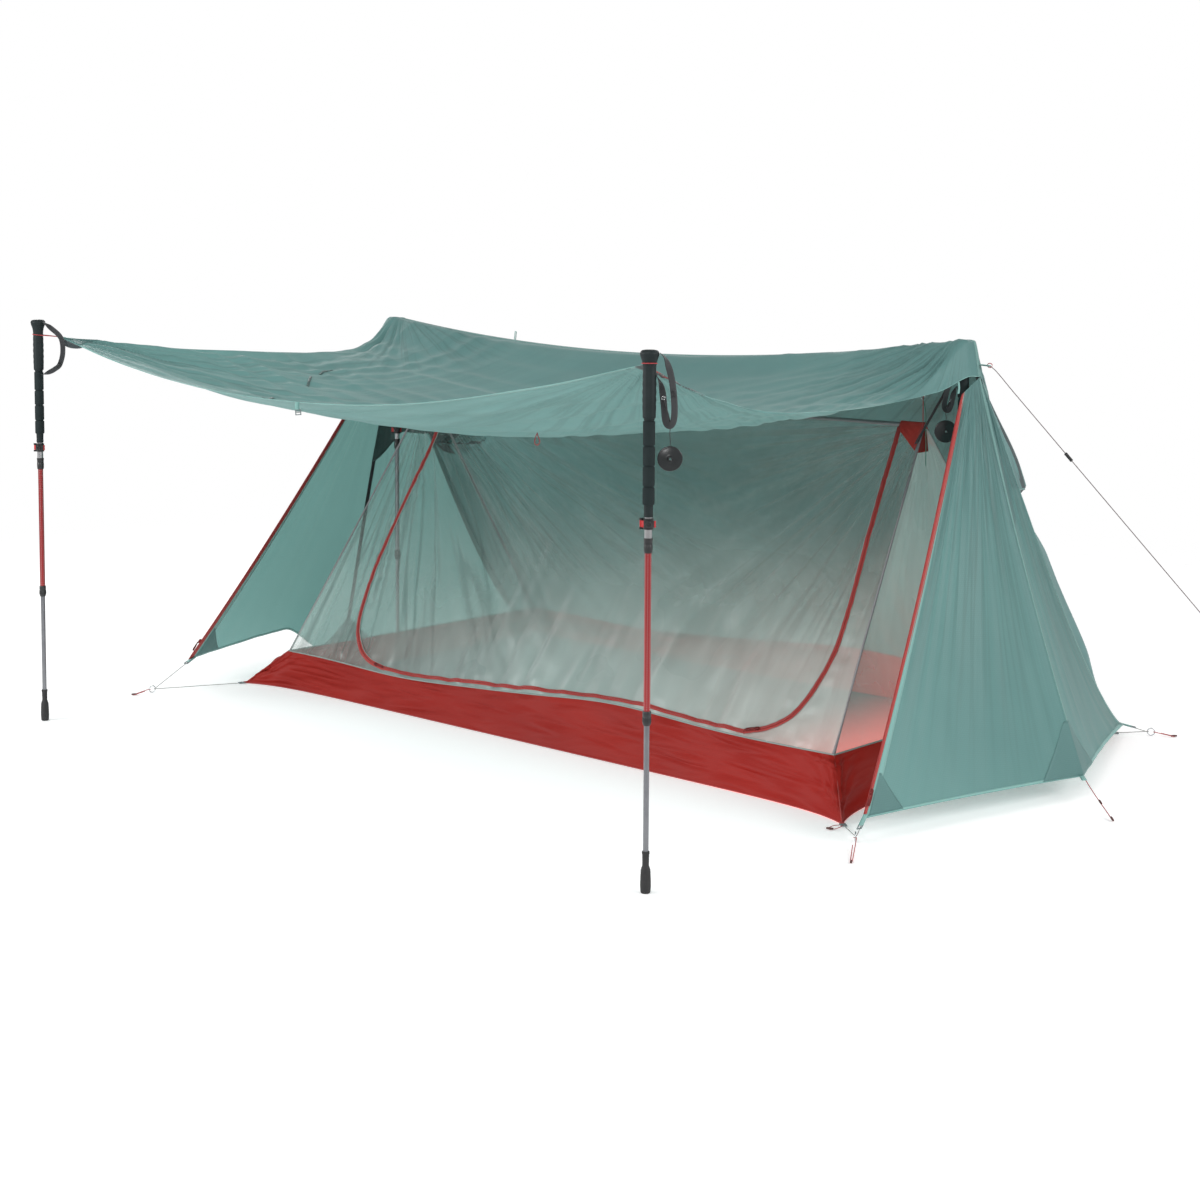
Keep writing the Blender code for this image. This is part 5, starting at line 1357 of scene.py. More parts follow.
tub_spot = with_folds(tub_base, tub_fold)
TUB_U = [k / len(TUB_ROUND) for k in range(len(TUB_ROUND))] + [1.0 - 1e-9]
tub = cloth_piece("floor_tub_wall", tub_spot, TUB_U, steps(0.0, 1.0, 20), tub_nylon, slot_name="floor_cloth",
                  stands_for="floor_tub")


def ground_spot(u, v):
    # v runs from the middle of the floor out to the foot of the wall.
    edge = tub_base(u, 0.0)
    centre = Vector((edge.x * 0.80, 0.035, 0.0)) * (1.0 - v)
    point = Vector((edge.x * v + centre.x * (1.0 - v), edge.y * v + centre.y, 0.0))
    ripple = noise_at(point.x * 5.0, point.y * 7.0, 33.0) + 0.5 * noise_at(point.x * 13.0, point.y * 11.0, 37.0)
    point.z = 0.0006 + max(0.0, 0.0035 * ripple + 0.0020) * smooth((1.0 - v) / 0.1)
    return point


ground = cloth_piece("floor_ground_sheet", ground_spot, TUB_U, steps(0.0, 1.0, 34), ground_nylon,
                     slot_name="floor_cloth", flip=True)
ground_map = ground.data.uv_layers["cloth"].data
for loop in ground.data.loops:
    ground_map[loop.index].uv = ground.data.vertices[loop.vertex_index].co.xy

for name, v, lift, radius, finish in (("piping", 1.0, 0.0008, 0.0021, rim_piping),
                                      ("foot_seam", 0.0, 0.0012, 0.0014, zip_red)):
    line = [tub_spot(u, v) + UP * lift for u in TUB_U[:-1]]
    line.append(line[0].lerp(line[-1], 0.02))
    mapped_tube("floor_tub_" + name, line, radius, finish, "floor_cloth", sides=8)
# The corner seams of the tub are felled inside.
for side in ("front", "rear"):
    for s, end in reversed(SIDES):
        line = [tub_side(side, s).lerp(rim_side(side, s), up) + UP * 0.001 for up in steps(0.0, 1.0, 12)]
        mapped_tube("floor_tub_seam_" + side + "_" + end, line, 0.0016, zip_red, "floor_cloth", sides=8)

# Inner tent mesh
# The inner tent is a lean-to on each side of its own ridge, of very fine glossy mosquito mesh that one sees
# through. It hangs slack between its apexes, with soft folds above the rim and puckers beside the zips.
INNER_HALF = 0.950
INNER_Z = 0.905
INNER_BOW = 0.010
PATCH_LENGTH = 0.075
PATCH_DROP = 0.085
DOOR_TAPE = 0.014


def mesh_finish(name, high_cover, low_cover, painted_glow=0.0):
    # Fine glossy mesh: it shows what is behind it, more so high up and at the left, as painted shade from the
    # awning, and its sharp folds get more cover as painted highlights.
    def cover_of(tree, place, tone, weave, line):
        # Painted shade: the cover, and with it the mesh's own pale colour, thins towards the top, under the awning,
        # and towards the left.
        down = ranged(tree, split(tree, place)["Y"], 0.28, 0.88, high_cover, low_cover)
        along = ranged(tree, split(tree, object_place(tree))["X"], -0.95, 0.25, 0.48, 1.0)
        cover = math_node(tree, "MULTIPLY", down, along)
        # Painted highlights: sharp crease ridges get more cover. The pulled crease lines get more of their darkened
        # colour, as painted shade.
        sharp = ranged(tree, tone["Crease"], 0.75, 1.35)
        for value, weight in ((tone["Crease"], 0.14), (sharp, 0.36), (line, 0.26), (weave["Thread"], 0.08)):
            cover = math_node(tree, "MULTIPLY_ADD", value, weight, cover)
        return cover
    made = cloth_finish(name, (0.53, 0.67, 0.63), (0.76, 0.90, 0.85), (0.62, 0.80, 0.74), 0.30, 0.20, 0.38,
                        (2.4, 0.25, 1.0), 0.012, plane="XZ", crease_shade=0.25, wave_height=4.0, pitch=0.0011,
                        pulls=((-INNER_HALF, INNER_Z, 10.0, 1.6), (INNER_HALF, INNER_Z, 9.0, 0.9)),
                        cover_of=cover_of)
    # A glow, where one is asked for, brightens the mesh as painted light.
    dress(made, Sheen_Weight=0.30, Specular_IOR_Level=0.80, Emission_Color=(0.56, 0.74, 0.70),
          Emission_Strength=painted_glow)
    return made


inner_mesh = mesh_finish("inner_mesh", 0.03, 0.62)
# The right end mesh is a lit copy of the left: more cover high up and a glow, as painted light in that corner.
end_meshes = {"right": mesh_finish("right_end_mesh", 0.46, 0.28, painted_glow=0.34),
              "left": mesh_finish("left_end_mesh", 0.06, 0.28)}


def inner_panel(side, s, w):
    # Point of an inner wall: w from 0 at the ridge or apex to 1 at the rim.
    foot = rim_side(side, s, CLOTH)
    foot.z += GAP
    if side in ("front", "rear"):
        keep = 1.0 - GAP / INNER_HALF
        top = Vector((INNER_HALF * s * keep, 0.0, INNER_Z))
        top.y = -GAP * 0.5 if side == "front" else GAP * 0.5
        foot.x *= keep
    else:
        sign = 1.0 if side == "right" else -1.0
        top = Vector((sign * INNER_HALF, 0.0, INNER_Z))
    point = top.lerp(foot, w)
    bow = 4.0 * w * (1.0 - w) * (1.0 - s * s)
    if side == "front":
        point.y += INNER_BOW * bow
    elif side == "rear":
        point.y -= INNER_BOW * bow
    else:
        point.x -= sign * INNER_BOW * bow
        point.y *= 1.0 - GAP
    return point


def door_route(sign):
    if sign > 0:
        return [(0.878, 0.014), (0.897, 0.25), (0.913, 0.42), (0.931, 0.58), (0.938, 0.70),
                (0.925, 0.80), (0.888, 0.905), (0.830, 0.958), (0.757, 0.985)]
    return [(-0.842, 0.05), (-0.822, 0.20), (-0.829, 0.42), (-0.832, 0.56), (-0.826, 0.70),
            (-0.797, 0.855), (-0.745, 0.935), (-0.680, 0.972), (-0.600, 0.985)]


def beside_zip(x, v):
    # How near a point of the front wall lies to a door zip, which holds the mesh flat.
    route = door_route(1 if x > 0.0 else -1)
    place = route[0][0]
    for (x_a, v_a), (x_b, v_b) in zip(route, route[1:]):
        if v_a <= v <= v_b:
            place = x_a + (x_b - x_a) * (v - v_a) / (v_b - v_a)
    return abs(x - place)


def long_fold(u, v, here, seed, strength):
    # Fans from both apexes above, and upright slack folds below, on a front or rear wall.
    inside = smooth(min(u, 1.0 - u) / 0.04)
    x, z = here.x, here.z
    fold = fan(x, z, (INNER_HALF, INNER_Z), 11.0, 0.03, 0.60, 0.020, seed)
    fold += fan(x, z, (-INNER_HALF, INNER_Z), 11.0, 0.03, 0.70, 0.022, seed + 3.0)
    low = smooth((v - 0.45) / 0.4) * (0.35 + 0.65 * smooth((1.0 - v) / 0.05))
    slack = abs(noise_at(x * 9.0 + 0.6 * v, v * 0.5, seed + 6.0)) * 1.6 - 0.3
    slack += 0.6 * noise_at(x * 19.0 - 0.8 * v, v * 0.9, seed + 7.0)
    right = 0.45 + 0.55 * smooth((x + 0.5) / 0.7)
    fold += 0.0175 * slack * low * right
    fold += 0.0080 * noise_at(x * 3.0, v * 1.4, seed + 8.0) * smooth(v / 0.3) * smooth((1.0 - v) / 0.1)
    fold += 0.0034 * noise_at(x * 26.0, v * 5.0, seed + 11.0) * smooth((v - 0.75) / 0.15)
    if strength < 0.0:
        # The zip holds the mesh flat, and small puckers run off on both sides of it.
        away = beside_zip(x, v)
        fold *= 1.0 - 0.85 * math.exp(-(away / 0.035) ** 2)
        pucker = 0.0065 * noise_at(v * 34.0 + x * 4.0, x * 9.0, seed + 15.0)
        fold += pucker * math.exp(-((away - 0.032) / 0.022) ** 2)
    return fold * inside * strength * smooth(v / 0.03) * smooth((1.0 - v) / 0.012 + 0.05)


def inner_spot(side, fold):
    # A wall of the inner tent with its folds, with its stations closer together at its two ends.
    return with_folds(lambda u, v: inner_panel(side, math.sin(math.pi * (u - 0.5)), v), fold)


front_spot = inner_spot("front", lambda u, v, here: long_fold(u, v, here, 101.0, -1.0))
back_spot = inner_spot("rear", lambda u, v, here: long_fold(u, v, here, 121.0, 1.0))
INNER_U = steps(0.0, 1.0, 260)
front_mesh = cloth_piece("inner_front_mesh", front_spot, INNER_U, steps(0.0, 1.0, 90), inner_mesh,
                         slot_name="mesh_cloth", flip=True, stands_for="inner_front")
back_mesh = cloth_piece("inner_rear_mesh", back_spot, INNER_U, steps(0.0, 1.0, 60), inner_mesh,
                        slot_name="mesh_cloth", stands_for="inner_rear")


def end_fold_in(seed):
    def fold(u, v, here):
        inside = smooth(min(u, 1.0 - u) / 0.06)
        wave = noise_at(u * 8.0, v * 0.8, seed) + 0.5 * abs(noise_at(u * 19.0, v * 1.3, seed + 4.0))
        return 0.012 * wave * inside * smooth(v / 0.2) * (0.3 + 0.7 * smooth((1.0 - v) / 0.3))
    return fold


INNER_TOP = 0.015
inner_end_spots = {}
for sign, side in SIDES:
    inner_end_spots[side] = with_folds(
        lambda u, v, side=side: inner_panel(side, math.sin(math.pi * (u - 0.5)),
                                            INNER_TOP + (1.0 - INNER_TOP) * v),
        end_fold_in(141.0 if sign > 0 else 151.0))
    made = cloth_piece("inner_end_" + side + "_mesh", inner_end_spots[side], steps(0.0, 1.0, 90),
                       steps(0.0, 1.0, 70), end_meshes[side], slot_name="mesh_cloth", flip=sign > 0,
                       stands_for="inner_end_" + side)

# Inner tent seams and ridge
# The corner seams are bound in a narrow grey tape, and so is the inner tent's own ridge.
grey_tape = tape_finish("grey_tape", (0.165, 0.165, 0.175), (0.235, 0.225, 0.235), (0.30, 0.29, 0.30), 0.5)
SEAM_HALF = 0.006
for sign, side in SIDES:
    for wall, spot in (("front", front_spot), ("rear", back_spot)):
        end_in = 0.045 if wall == "front" else 0.955
        rows = []
        for w in steps(0.02, 1.0, 70):
            edge = spot(from_edge(sign, 0.0), w)
            wall_way = spot(from_edge(sign, 0.065), w) - edge
            end_way = inner_end_spots[side](end_in, (w - INNER_TOP) / (1.0 - INNER_TOP)) - edge
            wall_way, end_way = (way.normalized() * min(SEAM_HALF, way.length) for way in (wall_way, end_way))
            out = -(wall_way + end_way)
            if out.length > 1e-6:
                out = out.normalized() * 0.0014
            rows.append([edge + wall_way + out * 0.6, edge + out, edge + end_way + out * 0.6])
        row_tape("inner_seam_" + wall + "_" + side, rows, grey_tape, slot_name="mesh_cloth", thickness=0.0012,
                 flip=(sign > 0) == (wall == "front"))
row_tape("inner_ridge_tape", [[front_spot(u, 0.010), front_spot(u, 0.0) + UP * 0.0014, back_spot(u, 0.010)]
                              for u in steps(0.0, 1.0, 120)], grey_tape, slot_name="mesh_cloth", thickness=0.0012)

# Inner tent door zips
# Two long curved coil zips open the front wall as a wide door. Each has red tape with the coil down its middle,
# a pale piping along its door side, and a slider that rests at the rim.


def wall_place(x, w):
    foot_x = rim_side("front", 1.0, CLOTH).x
    reach = INNER_HALF + (foot_x - INNER_HALF) * w
    s = min(1.0, max(-1.0, x / reach))
    return front_spot(0.5 + math.asin(s) / math.pi, w)


for sign, side in SIDES:
    line = smooth_route([Vector((x, w, 0.0)) for x, w in door_route(sign)], 150)
    held_at = []
    for k, (x, w, _) in enumerate(line):
        ahead = line[min(k + 2, len(line) - 1)]
        behind = line[max(k - 2, 0)]
        along = (wall_place(ahead.x, ahead.y) - wall_place(behind.x, behind.y)).normalized()
        down = (wall_place(x, min(1.0, w + 0.02)) - wall_place(x, w - 0.02)).normalized()
        right = (wall_place(x + 0.02, w) - wall_place(x - 0.02, w)).normalized()
        out = down.cross(right).normalized()
        if out.y > 0.0:
            out = -out
        pucker = 0.0012 * noise_at(k * 0.35, 0.0, 171.0 + sign)
        place = wall_place(x, w) + out * (CLOTH + 0.0004 + pucker)
        held_at.append((place, along, along.cross(out).normalized(), out))
    row_tape("inner_zip_" + side + "_tape", [[place + across * DOOR_TAPE * share for share in steps(-0.5, 0.5, 4)]
                                             for place, along, across, out in held_at], zip_red,
             slot_name="red_tape", thickness=0.0010, stands_for="inner_zip_" + side)
    mapped_tube("inner_zip_" + side + "_coil", [place + out * 0.0012 for place, along, across, out in held_at],
                0.0024, coil_red, "red_tape", flat=0.7)
    beside = (DOOR_TAPE * 0.5 + 0.0008) * (-1.0 if held_at[60][2].x * sign > 0.0 else 1.0)
    mapped_tube("inner_zip_" + side + "_piping",
                [place + across * beside for place, along, across, out in held_at], 0.0013, rim_piping,
                "mesh_cloth", sides=8)
    place, along, across, out = held_at[143]
    zip_slider("inner_zip_" + side + "_slider", place + out * 0.002, along, out, 1.3)

# Between the two sliders the door's zip runs on along the rim.
RIM_TAPE = 0.011
rim_rows = []
for x in steps(-0.602, 0.759, 120):
    low = wall_place(x, 0.990)
    up = (wall_place(x, 0.975) - low).normalized() * RIM_TAPE
    low += Vector((0.0, -CLOTH - 0.0006, 0.0008))
    rim_rows.append((low, low + up * 0.5, low + up))
row_tape("inner_zip_rim_tape", rim_rows, zip_red, slot_name="red_tape", thickness=0.0010)
mapped_tube("inner_zip_rim_coil", [row[1] + Vector((0.0, -0.0014, 0.0002)) for row in rim_rows], 0.0022, coil_red,
            "red_tape", flat=0.7)

# Inner tent apexes
# A folded red patch caps each end of the inner ridge. At the right apex a red shock cord loop pulls it up to the
# ridge pole's grip.
patch_nylon = cloth_finish("patch_nylon", (0.42, 0.040, 0.030), (0.54, 0.055, 0.042), (0.70, 0.08, 0.06), 0.30,
                           0.42, 0.58, (2.0, 2.0, 1.0), 0.003)
for sign, side in SIDES:
    front_run, rear_run = (Vector((0.0, rim.y, rim.z - INNER_Z)).normalized()
                           for rim in (rim_side(wall, 0.96 * sign, CLOTH) for wall in ("front", "rear")))
    rise = (CLOTH + GAP) / math.sin(math.atan2(-front_run.y, -front_run.z)) + 0.001

    def patch_spot(u, v):
        drop = PATCH_DROP * (1.0 - 0.72 * u)
        run = front_run * drop * (1.0 - 2.0 * v) if v < 0.5 else rear_run * drop * (2.0 * v - 1.0)
        return Vector((sign * (INNER_HALF - PATCH_LENGTH * u), run.y, INNER_Z + run.z + rise))

    def flap_spot(u, v):
        # The patch turns the corner and runs a little way down the end wall.
        return inner_end_spots[side](0.55 * u, 0.078 * v) + Vector((sign * 0.0016, 0.0, 0.0))
    patch_cloth = with_folds(patch_spot, lambda u, v, here: 0.0012 * noise_at(u * 4.0, v * 9.0, 181.0))
    made = edge_tape("inner_patch_" + side + "_cloth", patch_cloth, steps(0.0, 1.0, 24), steps(0.0, 1.0, 40),
                     patch_nylon, slot_name="red_tape", thickness=0.0012, flip=sign > 0,
                     stands_for="inner_patch_" + side)
    edge_tape("inner_patch_" + side + "_flap", flap_spot, steps(0.0, 1.0, 16), steps(0.0, 1.0, 16), patch_nylon,
              slot_name="red_tape", thickness=0.0012, flip=sign > 0)
    edge_tape("inner_patch_" + side + "_edge", turned_map(patch_cloth), steps(0.0, 1.0, 40), [0.0, 0.04, 0.09],
              zip_red, slot_name="red_tape", thickness=0.0022, flip=sign < 0)


# Wrist straps and trekking baskets
# Three of the handles carry a loop of black webbing. From the right straps a black plastic snow basket hangs on
# edge by an elastic thread and a small snap hook, stowed there while the pole holds the tent up.
SIGHT = math.radians(43.0)
SIGHT_RIGHT = Vector((math.cos(SIGHT), math.sin(SIGHT), 0.0))
SIGHT_NEAR = Vector((math.sin(SIGHT), -math.cos(SIGHT), 0.0))
webbing = tape_finish("webbing", (0.012, 0.014, 0.016), (0.024, 0.027, 0.030), (0.05, 0.055, 0.06), 0.62, 0.0022)
STRAP_WIDTH = 0.014


def at_pole(tag, along, height):
    # A place beside a pole, along the picture and up from the ground.
    return Vector((POLE_TOPS[tag].x, POLE_TOPS[tag].y, height)) + SIGHT_RIGHT * along


def strap_band(tag, route, near=0.0):
    line = smooth_route([at_pole(tag, along, height) + SIGHT_NEAR * near for along, height in route], 91)
    rows = []
    for k, place in enumerate(line):
        along = (line[min(k + 1, 90)] - line[max(k - 1, 0)]).normalized()
        flat = along.cross(SIGHT_NEAR).normalized()
        twist = math.radians(72.0) * smooth(min(k, 90 - k) / 90.0 / 0.16) + 0.15 * noise_at(k * 0.1, 1.0, 203.0)
        wide = (SIGHT_NEAR * math.cos(twist) + flat * math.sin(twist)) * STRAP_WIDTH
        rows.append([place + wide * share for share in steps(-0.5, 0.5, 6)])
    made = row_tape("strap_" + tag + "_band", rows, webbing, slot_name="webbing", thickness=0.0014,
                    stands_for="strap_" + tag)
    soft = made.modifiers.new("soft_edges", "BEVEL")
    soft.width = 0.0004
    soft.limit_method = "ANGLE"
    return line


front_line = strap_band("front_right", [
    (CAP_R + 0.0015 - GAP, 1.1440), (0.034, 1.130), (0.046, 1.090), (0.052, 1.040), (0.051, 1.005), (0.043, 0.992),
    (0.034, 1.003), (0.030, 1.040), (0.025, 1.075), (GRIP_R + GAP, 1.098)])
left_line = strap_band("front_left", [
    (0.0194, 1.1440), (0.040, 1.128), (0.068, 1.100), (0.073, 1.060), (0.064, 1.025), (0.050, 1.012),
    (0.036, 1.004), (0.022, 0.998), (0.0115, 0.996)], 0.016)
ridge_line = strap_band("ridge_right", [
    (-GRIP_R - 2.0 * GAP, 1.060), (-0.026, 1.045), (-0.038, 1.015), (-0.046, 0.975), (-0.047, 0.958),
    (-0.040, 0.950), (-0.032, 0.958), (-0.026, 0.985), (-0.020, 1.005), (-GRIP_R - 0.0015 - GAP, 1.012)])


def turned_piece(name, profile, place, direction, finish, slot_name, body="tent", count=32, stands_for=None):
    # A lathed piece, turned in its own mesh to a direction and set in place.
    made = lathe(name, profile, finish, count)
    turn = direction.normalized().to_track_quat("Z", "Y").to_matrix().to_4x4()
    made.data.transform(Matrix.Translation(place) @ turn)
    held(made, slot_name, body, stands_for)


def bar_frame(name, place, along, out, finish, *bars):
    # A small moulded part made of bars: (middle along, middle across, middle out, length, width, height).
    # A bar that lies to one side has its like on the other.
    along, across, out = square_to(along, out)
    boxes = []
    for a, b, c, length, width, height in bars:
        for middle in (b, -b) if b else (b,):
            boxes.append([[place + along * (a + i * length) + across * (middle + j * width)
                           + out * (c + k * height)
                           for j, k in ((-0.5, -0.5), (-0.5, 0.5), (0.5, 0.5), (0.5, -0.5))]
                          for i in (-0.5, 0.5)])
    rounded(put(name, ringed(name, *boxes), finish, "black_plastic"), 0.0006, 3)


def round_wire(radius, wire, count):
    # The profile of a ring of round wire.
    return [(radius + wire * math.cos(turn), wire * math.sin(turn)) for turn in full_turn(count, -1.0)]


basket_plastic = grained("basket_plastic", (0.010, 0.012, 0.013), (0.020, 0.023, 0.024), 0.16, 0.30, 500.0,
                         0.00005)
bright_steel = grained("bright_steel", (0.52, 0.53, 0.54), (0.62, 0.63, 0.64), 0.18, 0.30, 900.0, 0.00002, 1.0)
elastic_thread = braided("elastic_thread", (0.05, 0.06, 0.06), 800.0, 0.6)


def snow_basket(tag, along, height, radius, thread_top):
    name = "basket_" + tag + "_disc"
    middle = at_pole(tag, along, height)
    profile = [(0.0024, 0.0046), (0.0036, 0.0050), (0.0046, 0.0046), (0.0052, 0.0034), (0.0058, 0.0016)]
    for share in (0.30, 0.40, 0.50, 0.60, 0.70, 0.80, 0.90):
        step = 0.0006 if int(share * 10.0) % 2 else 0.0
        profile.append((radius * share, 0.0012 - 0.0034 * share ** 2 + step))
    profile += [(radius * 0.965, -0.0012), (radius - 0.0003, -0.0018), (radius, -0.0026),
                (radius - 0.0006, -0.0034), (radius * 0.94, -0.0033), (radius * 0.6, -0.0014), (0.0072, -0.0006),
                (0.0064, -0.0024),
                (0.0060, -0.0046), (0.0050, -0.0052), (0.0024, -0.0050)]
    turned_piece(name, profile, middle, SIGHT_NEAR, basket_plastic, "black_plastic", count=56,
                 stands_for="basket_" + tag)
    for k, turn in enumerate(full_turn(10)):
        way = SIGHT_RIGHT * math.cos(turn) + UP * math.sin(turn)
        start = middle + way * 0.007 - SIGHT_NEAR * 0.0012
        end = middle + way * radius * 0.93 - SIGHT_NEAR * 0.0028
        mapped_tube(name + "_rib_" + str(k), [start, start.lerp(end, 0.5), end], 0.0008, basket_plastic,
                    "black_plastic", sides=6)
    top = Vector((middle.x, middle.y, thread_top)) - SIGHT_NEAR * 0.0026
    foot = middle + UP * (radius - 0.0015) - SIGHT_NEAR * 0.0026
    thread = [foot.lerp(top, k / 8.0) + SIGHT_RIGHT * 0.0007 * math.sin(k * 0.9) for k in range(9)]
    mapped_tube(name + "_thread", thread, 0.0009, elastic_thread, "black_plastic", sides=8)
    return top


front_thread = snow_basket("front_right", 0.0440, 0.9240, 0.0265, 0.9915)
ridge_thread = snow_basket("ridge_right", -0.0420, 0.8960, 0.0290, 0.9525)


def snap_hook(name, top, foot):
    # A small snap hook: a steel eye, a black body and a steel swivel pin.
    run = (foot - top).normalized()
    length = (foot - top).length
    turned_piece(name + "_eye", round_wire(0.0034, 0.0008, 10), top + run * 0.003, SIGHT_NEAR,
                 bright_steel, "steel", count=24)
    shell = [(0.0, 0.0), (0.0018, 0.0002), (0.0026, 0.0014), (0.0028, 0.0060), (0.0024, 0.0080), (0.0026, 0.0100),
             (0.0024, length - 0.0080), (0.0014, length - 0.0066), (0.0, length - 0.0064)]
    turned_piece(name + "_body", shell, top + run * 0.0058, run, black_moulding, "black_plastic", count=20)
    pin = [(0.0, 0.0), (0.0020, 0.0002), (0.0021, 0.0016), (0.0012, 0.0022), (0.0012, 0.0044), (0.0, 0.0046)]
    turned_piece(name + "_pin", pin, top + run * (length - 0.0012), run, bright_steel, "steel", count=20)


snap_hook("front_right_hook", front_line[76] + SIGHT_NEAR * 0.0038 - UP * 0.004, front_thread + UP * 0.004)
snap_hook("ridge_right_hook", ridge_line[70] + UP * 0.004, ridge_thread + UP * 0.003)
# The left strap ends in a flat tail through a black slider, and the right one has a slider too.
bar_frame("strap_front_left_slider", left_line[64], left_line[66] - left_line[62],
          SIGHT_NEAR.cross(left_line[66] - left_line[62]), black_moulding,
          (-0.006, 0.0, 0.0, 0.0024, 0.0200, 0.0040), (0.006, 0.0, 0.0, 0.0024, 0.0200, 0.0040),
          (0.0, 0.0, 0.0008, 0.0022, 0.0200, 0.0034), (0.0, 0.0088, 0.0, 0.0144, 0.0024, 0.0040))
bar_frame("strap_front_right_slider", front_line[30], front_line[32] - front_line[28],
          SIGHT_NEAR.cross(front_line[32] - front_line[28]), black_moulding,
          (-0.005, 0.0, 0.0, 0.0022, 0.0190, 0.0036), (0.005, 0.0, 0.0, 0.0022, 0.0190, 0.0036),
          (0.0, 0.0084, 0.0, 0.0120, 0.0022, 0.0036))

# Rings, buckles and toggles
# Each pulled corner has a welded steel ring, a grey line-lock buckle at the floor, a mint webbing tab on the
# flysheet, and a dark toggle on the end of its peg loop.
grey_moulding = grained("grey_moulding", (0.13, 0.16, 0.165), (0.19, 0.225, 0.23), 0.34, 0.5, 800.0, 0.00005)
toggle_brown = grained("toggle_brown", (0.060, 0.016, 0.014), (0.110, 0.026, 0.022), 0.35, 0.5, 800.0, 0.00005)
toggle_profile = [(0.0, -0.0088), (0.0016, -0.0087), (0.0024, -0.0078), (0.0027, -0.0060), (0.0022, -0.0048),
                  (0.0027, -0.0036), (0.0028, 0.0), (0.0027, 0.0036), (0.0022, 0.0048), (0.0027, 0.0060),
                  (0.0024, 0.0078), (0.0016, 0.0087), (0.0, 0.0088)]


def toggle(name, place, direction):
    turned_piece(name, toggle_profile, place, direction, toggle_brown, "red_plastic", count=24)


def webbing_tab(name, start, along, up, length, width, finish, fold=0.0022, slot_name="fly_cloth"):
    # A short loop of webbing: out from a seam and folded back on itself.
    along, across, up = square_to(along, up)
    half = up * fold * 0.5
    out = [start + along * run for run in steps(0.0, length, 8)]
    path = [place + half for place in out]
    for turn in map(math.radians, (60.0, 30.0, 0.0, -30.0, -60.0)):
        path.append(out[-1] + along * fold * 0.5 * math.cos(turn) + half * math.sin(turn))
    path += [place - half for place in reversed(out)]
    row_tape(name, [[place + across * width * share for share in steps(-0.5, 0.5, 4)] for place in path], finish,
             slot_name=slot_name, thickness=0.0010)


for tag, (floor_at, fly_at, ring_at, peg_at, pull) in PULLED.items():
    turned_piece("ring_" + tag + "_wire", round_wire(RING_R, RING_WIRE, 14), ring_at,
                 Vector((pull.y, -pull.x, 0.0)), bright_steel, "steel", count=48, stands_for="ring_" + tag)
    run = ring_at - floor_at
    run.z *= 0.2
    ahead = run.normalized()
    bar_frame("line_lock_" + tag, floor_at + ahead * 0.011 + UP * 0.0012, run, UP, grey_moulding,
              (-0.0085, 0.0, 0.0, 0.0026, 0.0165, 0.0030), (0.0085, 0.0, 0.0, 0.0026, 0.0120, 0.0030),
              (-0.0010, 0.0, 0.0006, 0.0024, 0.0140, 0.0030), (0.0, 0.0065, 0.0, 0.0190, 0.0026, 0.0032))
    webbing_tab("floor_tab_" + tag, floor_at - ahead * 0.012 + UP * 0.0022, run, UP, 0.014, 0.010, zip_red,
                slot_name="red_tape")
    lead = (ring_at - fly_at).normalized()
    webbing_tab("fly_tab_" + tag, fly_at - lead * 0.014, lead, UP, 0.034, 0.012, mint_tape)
    bar_frame("fly_lock_" + tag, fly_at + lead * 0.026, lead, UP, grey_moulding,
              (-0.0060, 0.0, 0.0, 0.0024, 0.0150, 0.0028), (0.0060, 0.0, 0.0, 0.0024, 0.0110, 0.0028),
              (0.0, 0.0058, 0.0, 0.0140, 0.0024, 0.0030))
    toggle("peg_toggle_" + tag, peg_at - pull * 0.004 + UP * 0.0022, pull + UP * 0.08)


def hung_loop(name, top, steps_on, radius):
    # A slack loop of red cord below its own top.
    mapped_tube(name, smooth_route([top + Vector(step) for step in steps_on], 40), radius, red_cord, "cord_red",
                sides=8)


# A short adjusting loop hangs from the front right floor buckle, with its own toggle.
loop_top = Vector((1.150, -0.618, 0.0040))
hung_loop("floor_loop_front_right", loop_top, (
    (0.0, 0.0, 0.0), (0.006, -0.014, 0.0), (0.005, -0.032, -0.0012), (-0.003, -0.045, -0.0020),
    (-0.012, -0.038, -0.0014), (-0.012, -0.020, 0.0), (-0.005, -0.004, 0.0)), 0.0009)
toggle("floor_loop_toggle", loop_top + Vector((-0.004, -0.045, 0.0004)), Vector((1.0, 0.35, 0.0)))
end_way = end_peg - end_start
webbing_tab("end_tab_right", END_FOOT + Vector((-0.012, 0.004, 0.004)), end_way, UP, 0.032, 0.012, mint_tape)
toggle("end_line_toggle", end_peg.lerp(end_start, 0.03) + UP * 0.0022, end_way)
toggle("end_line_slider", end_peg.lerp(end_start, 0.42), end_way)

